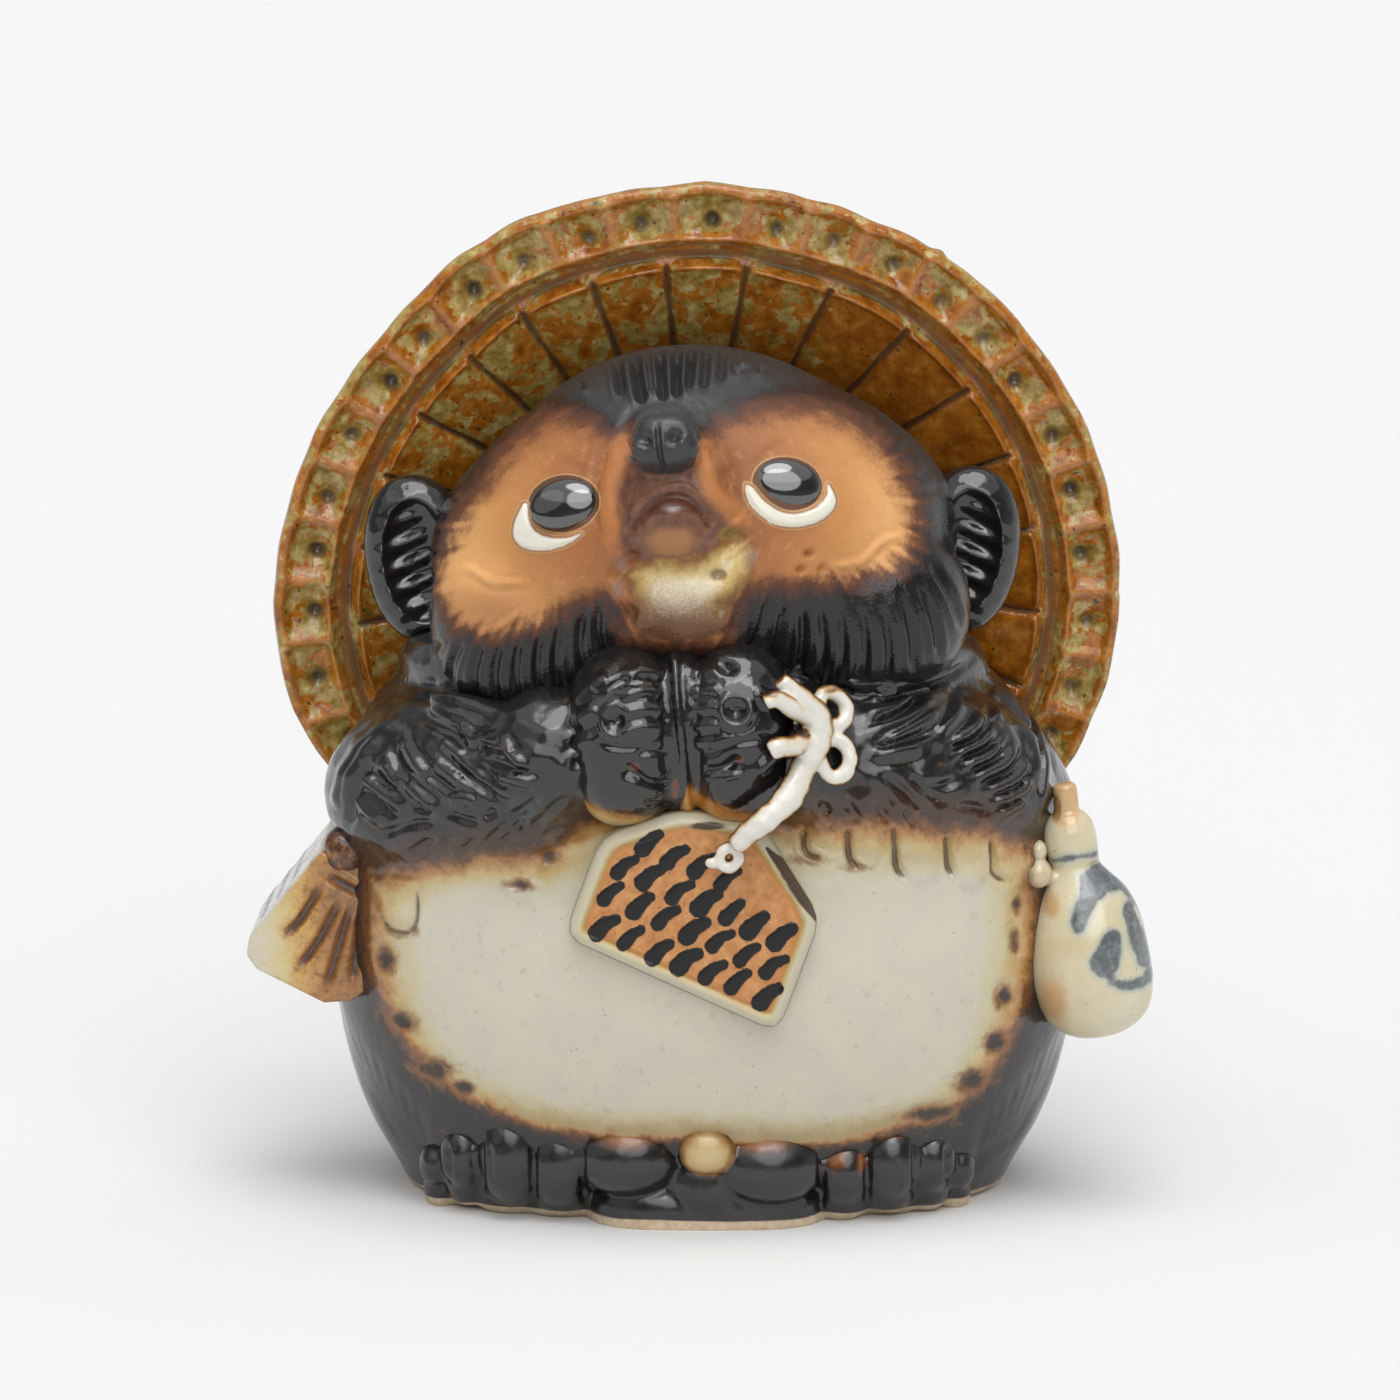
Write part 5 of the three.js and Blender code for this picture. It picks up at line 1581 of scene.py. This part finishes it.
# Strap knob over the account book, a pinch of clay under thick brown glaze.
knob = lump((-62.6, -19.5, 64.6), (3.9, 4.6, 4.2), squareness=2.4)
knob.name = knob.data.name = "strap_knob"
glaze("strap_glaze", [knob], lambda tree: (
    graded(tree, shifted(tree, grain(tree, 2.2, 4, 0.6), grain(tree, 0.8, 2), 0.1), [
        (0.32, (0.022, 0.012, 0.009)), (0.5, (0.10, 0.034, 0.012)), (0.62, (0.30, 0.12, 0.025)),
        (0.8, (0.46, 0.22, 0.05)),
    ]),
    level(tree, 0.12, 0.24, grain(tree, 3, 2)),
    [(grain(tree, 2.4, 3), 0.35)],
))
settle(knob)

# Sake flask: a gourd-shaped bottle with a stopper, hanging at the right hip on beads of clay.
# It is turned as two bulbs, covered in cream glaze and brushed with soft blue grey.
profile_radius = [0, 4.8, 8.8, 10.6, 11.0, 10.3, 8.2, 5.7, 4.5, 4.6, 4.8, 4.8, 4.3, 3.3, 2.3, 2.2, 1.9, 0]
profile_height = [
    0.4, 0.6, 3.6, 8.8, 14.4, 20.2, 25.6, 29.0, 30.9, 32.4, 34.4, 36.6, 38.6, 40.0, 41.0, 43.2, 45.4,
    45.8,
]
flask = lump((0, 0, 0), (1, 1, 1), segments=192)
co = points(flask)
place = (1 - np.arccos(np.clip(co[:, 2], -1, 1)) / math.pi) * (len(profile_radius) - 1)
ring = np.maximum(np.hypot(co[:, 0], co[:, 1]), 1e-9)
radius = np.maximum(between(profile_radius, place), 0) * (ring > 1e-6)
co = np.stack([co[:, 0] / ring * radius, co[:, 1] / ring * radius, between(profile_height, place)], 1)
co[:, 0] += 0.25 * np.sin(co[:, 2] * 0.31)
lean = np.array(Euler((0, math.radians(-9), 0)).to_matrix())
move(flask, co @ lean.T + (70.9, -22, 31.6))
flask.name = flask.data.name = "sake_flask"
co, facing, flat = front_view(flask)
front = facing[:, 1] < 0.25
mantle = rimmed(flat, [
    (66.2, 61.5), (71.0, 63.5), (76.4, 61.5), (80.4, 57.6), (84, 51.2), (84, 48.4), (79.2, 48.9),
    (78.0, 52.6), (75.9, 56.5), (73.8, 58.2), (71.7, 58.4), (69.6, 56.8), (68.3, 54.4), (67.2, 51.9),
    (65.8, 51.7), (64.4, 53.3), (65.1, 55.4), (66.2, 58.2),
])
wash = np.where(front, mantle, -9)
for path, wide in (
    ([(72.1, 50.6), (70.8, 46.8)], 5.2), ([(75.2, 55.4), (76.6, 50.6), (78.6, 46.4)], 3.4),
    ([(72.0, 43.4), (75.4, 42.4), (79.0, 43.0)], 2.4),
    ([(62.2, 63.6), (67, 64.6), (73.4, 64.4)], 1.5),
):
    off, share = along(flat, flowing(path))
    wash = np.maximum(wash, np.where(front, wide / 2 * (0.75 + 0.35 * share) - off, -9))
back_dabs = [[(60 + 5 * k, z), (62 + 5 * k, z - 3)] for k in range(5) for z in (50, 42, 35)]
for path in back_dabs:
    off, _ = along(flat, np.array(path, float))
    wash = np.maximum(wash, np.where(facing[:, 1] > 0.25, 1.0 - off, -9))
note(flask, "wash", wash)
blushes = sinks(flat, [
    (61.6, 56.0, 2.0, 2.8), (64.6, 71.4, 3.0, 2.4), (62, 39, 3.6, 6), (70.0, 62.4, 2.6, 1.2),
])
rusts = sinks(flat, [(70.4, 62.8, 3.0, 1.1), (74.0, 62.4, 1.4, 0.9), (62.6, 72.6, 1.2, 3.0)])
note(flask, "blush", np.maximum(blushes, rising(co[:, 2], 72.2, 73.4)))
note(flask, "rust", np.maximum(rusts, rising(co[:, 2] + 0.6 * (co[:, 0] - 60), 35.5, 31.5)))
beads = [
    lump((59.4, -25.4, 61.4), (2.5, 3.4, 2.7), segments=40),
    lump((59.4, -25.0, 65.2), (1.6, 2.6, 2.1), segments=32),
    lump((62.6, -23.5, 60.2), (3.6, 2.4, 1.7), segments=32),
]
beads = fuse(beads, "flask_beads", coarseness=0.3, softened=4)
tanned = 0.42 + 0.35 * np.clip(outward(beads)[:, 1] + 0.5, 0, 1)
note(beads, "wash", np.full(len(tanned), -9.0))
note(beads, "blush", tanned)
note(beads, "rust", tanned)


def flask_paint(tree):
    base = graded(tree, grain(tree, 9, 4, 0.55), [
        (0.3, (0.60, 0.51, 0.31)), (0.5, (0.64, 0.57, 0.38)), (0.7, (0.68, 0.625, 0.47)),
    ])
    blush = ragged(tree, "blush", 0.28, 2.4, 4, 0.6)
    colour = over(tree, base, (0.58, 0.32, 0.12), share_of(tree, blush, 0.3, 0.9), 0.75)
    rust = ragged(tree, "rust", 0.22, 1.6, 4, 0.6)
    colour = over(tree, colour, (0.30, 0.155, 0.05), share_of(tree, rust, 0.4, 0.75), 0.9)
    wash = ragged(tree, "wash", 0.7, 3, 4, 0.6)
    blue = graded(tree, grain(tree, 1.8, 4, 0.7), [
        (0.3, (0.030, 0.038, 0.047)), (0.5, (0.075, 0.092, 0.108)), (0.7, (0.19, 0.225, 0.24)),
    ])
    colour = layered(tree, colour, [
        ((0.42, 0.47, 0.44), wash, -0.9, 0.0, 0.6),
        (blue, wash, -0.15, 0.55, 0.9),
    ])
    speck = patches(tree, 0.74, 0.79, 0.9, 1)
    colour = over(tree, colour, (0.25, 0.15, 0.07), speck, 0.5)
    gloss = level(tree, 0.13, 0.24, patches(tree, 0.4, 0.7, 5, 3))
    return colour, gloss, [(grain(tree, 6, 2), 0.2), (grain(tree, 0.7, 2), 0.02)]


glaze("cream_flask_glaze", [flask, beads], flask_paint)
settle(flask)
settle(beads)

# Studio: a pale floor that runs back out of sight, soft light from above and from the front,
# and the camera at the photograph's angle.
bpy.ops.object.select_all(action="DESELECT")
bpy.ops.mesh.primitive_plane_add(size=60)
floor = bpy.context.object
floor.name = "floor"
paper = bpy.data.materials.new("pale_paper")
paper.use_nodes = True
surface = paper.node_tree.nodes["Principled BSDF"]
sheet_colour = graded(paper.node_tree, grain(paper.node_tree, 400, 1), [
    (0.3, (0.785, 0.787, 0.788)), (0.7, (0.789, 0.791, 0.791)),
])
paper.node_tree.links.new(sheet_colour, surface.inputs["Base Color"])
surface.inputs["Roughness"].default_value = 0.9
surface.inputs["Specular IOR Level"].default_value = 0.1
floor.data.materials.append(paper)
world = bpy.data.worlds.new("studio")
bpy.context.scene.world = world
world.use_nodes = True
sky = world.node_tree
way = add(sky, "SeparateXYZ", {0: add(sky, "TexCoord").outputs["Generated"]})
white_wall = graded(sky, way.outputs[2], [
    (0, (0.84, 0.84, 0.84)), (0.15, (0.70, 0.70, 0.70)), (0.5, (0.34, 0.34, 0.345)),
    (1, (0.22, 0.22, 0.225)),
])
dark_room = graded(sky, way.outputs[2], [
    (0, (0.24, 0.24, 0.24)), (0.3, (0.09, 0.09, 0.09)), (0.7, (0.10, 0.10, 0.10)),
    (1, (0.22, 0.22, 0.225)),
])
glow = over(sky, dark_room, white_wall, share_of(sky, way.outputs[1], -0.45, 0.35))
left = sums(
    sky, "MULTIPLY", share_of(sky, way.outputs[0], -0.15, -0.7),
    share_of(sky, way.outputs[1], 0.9, 0.2),
)
glow = over(sky, glow, (0.10, 0.10, 0.10), sums(sky, "MULTIPLY", left, 0.75))
sky.links.new(glow, sky.nodes["Background"].inputs["Color"])
sky.nodes["Background"].inputs["Strength"].default_value = 1.0


def lamp(name, strength, spread, pitch, turn):
    light = bpy.data.objects.new(name, bpy.data.lights.new(name, "SUN"))
    light.data.energy = strength
    light.data.angle = math.radians(spread)
    light.rotation_euler = (math.radians(pitch), 0, math.radians(turn))
    bpy.context.scene.collection.objects.link(light)


lamp("overhead_softbox", strength=1.2, spread=40, pitch=16, turn=8)
lamp("overhead_scrim", strength=1.0, spread=96, pitch=10, turn=0)
lamp("side_softbox", strength=0.22, spread=50, pitch=58, turn=-60)
lamp("front_softbox", strength=1.25, spread=54, pitch=50, turn=10)
camera = bpy.data.objects.new("camera", bpy.data.cameras.new("camera"))
bpy.context.scene.collection.objects.link(camera)
camera_distance, camera_height, looking_down = 0.987688, 0.244562, 9
camera.location = (upright_axis[0] / 1000, upright_axis[1] / 1000 - camera_distance, camera_height)
camera.rotation_euler = (math.radians(90 - looking_down), 0, 0)
film_width, picture_width, focal_length_in_dots = 36, 1400, 5571.03
camera.data.sensor_width = film_width
camera.data.lens = film_width * focal_length_in_dots / picture_width
camera.data.clip_start = 0.05
bpy.context.scene.camera = camera
bpy.context.scene.view_settings.view_transform = "Standard"
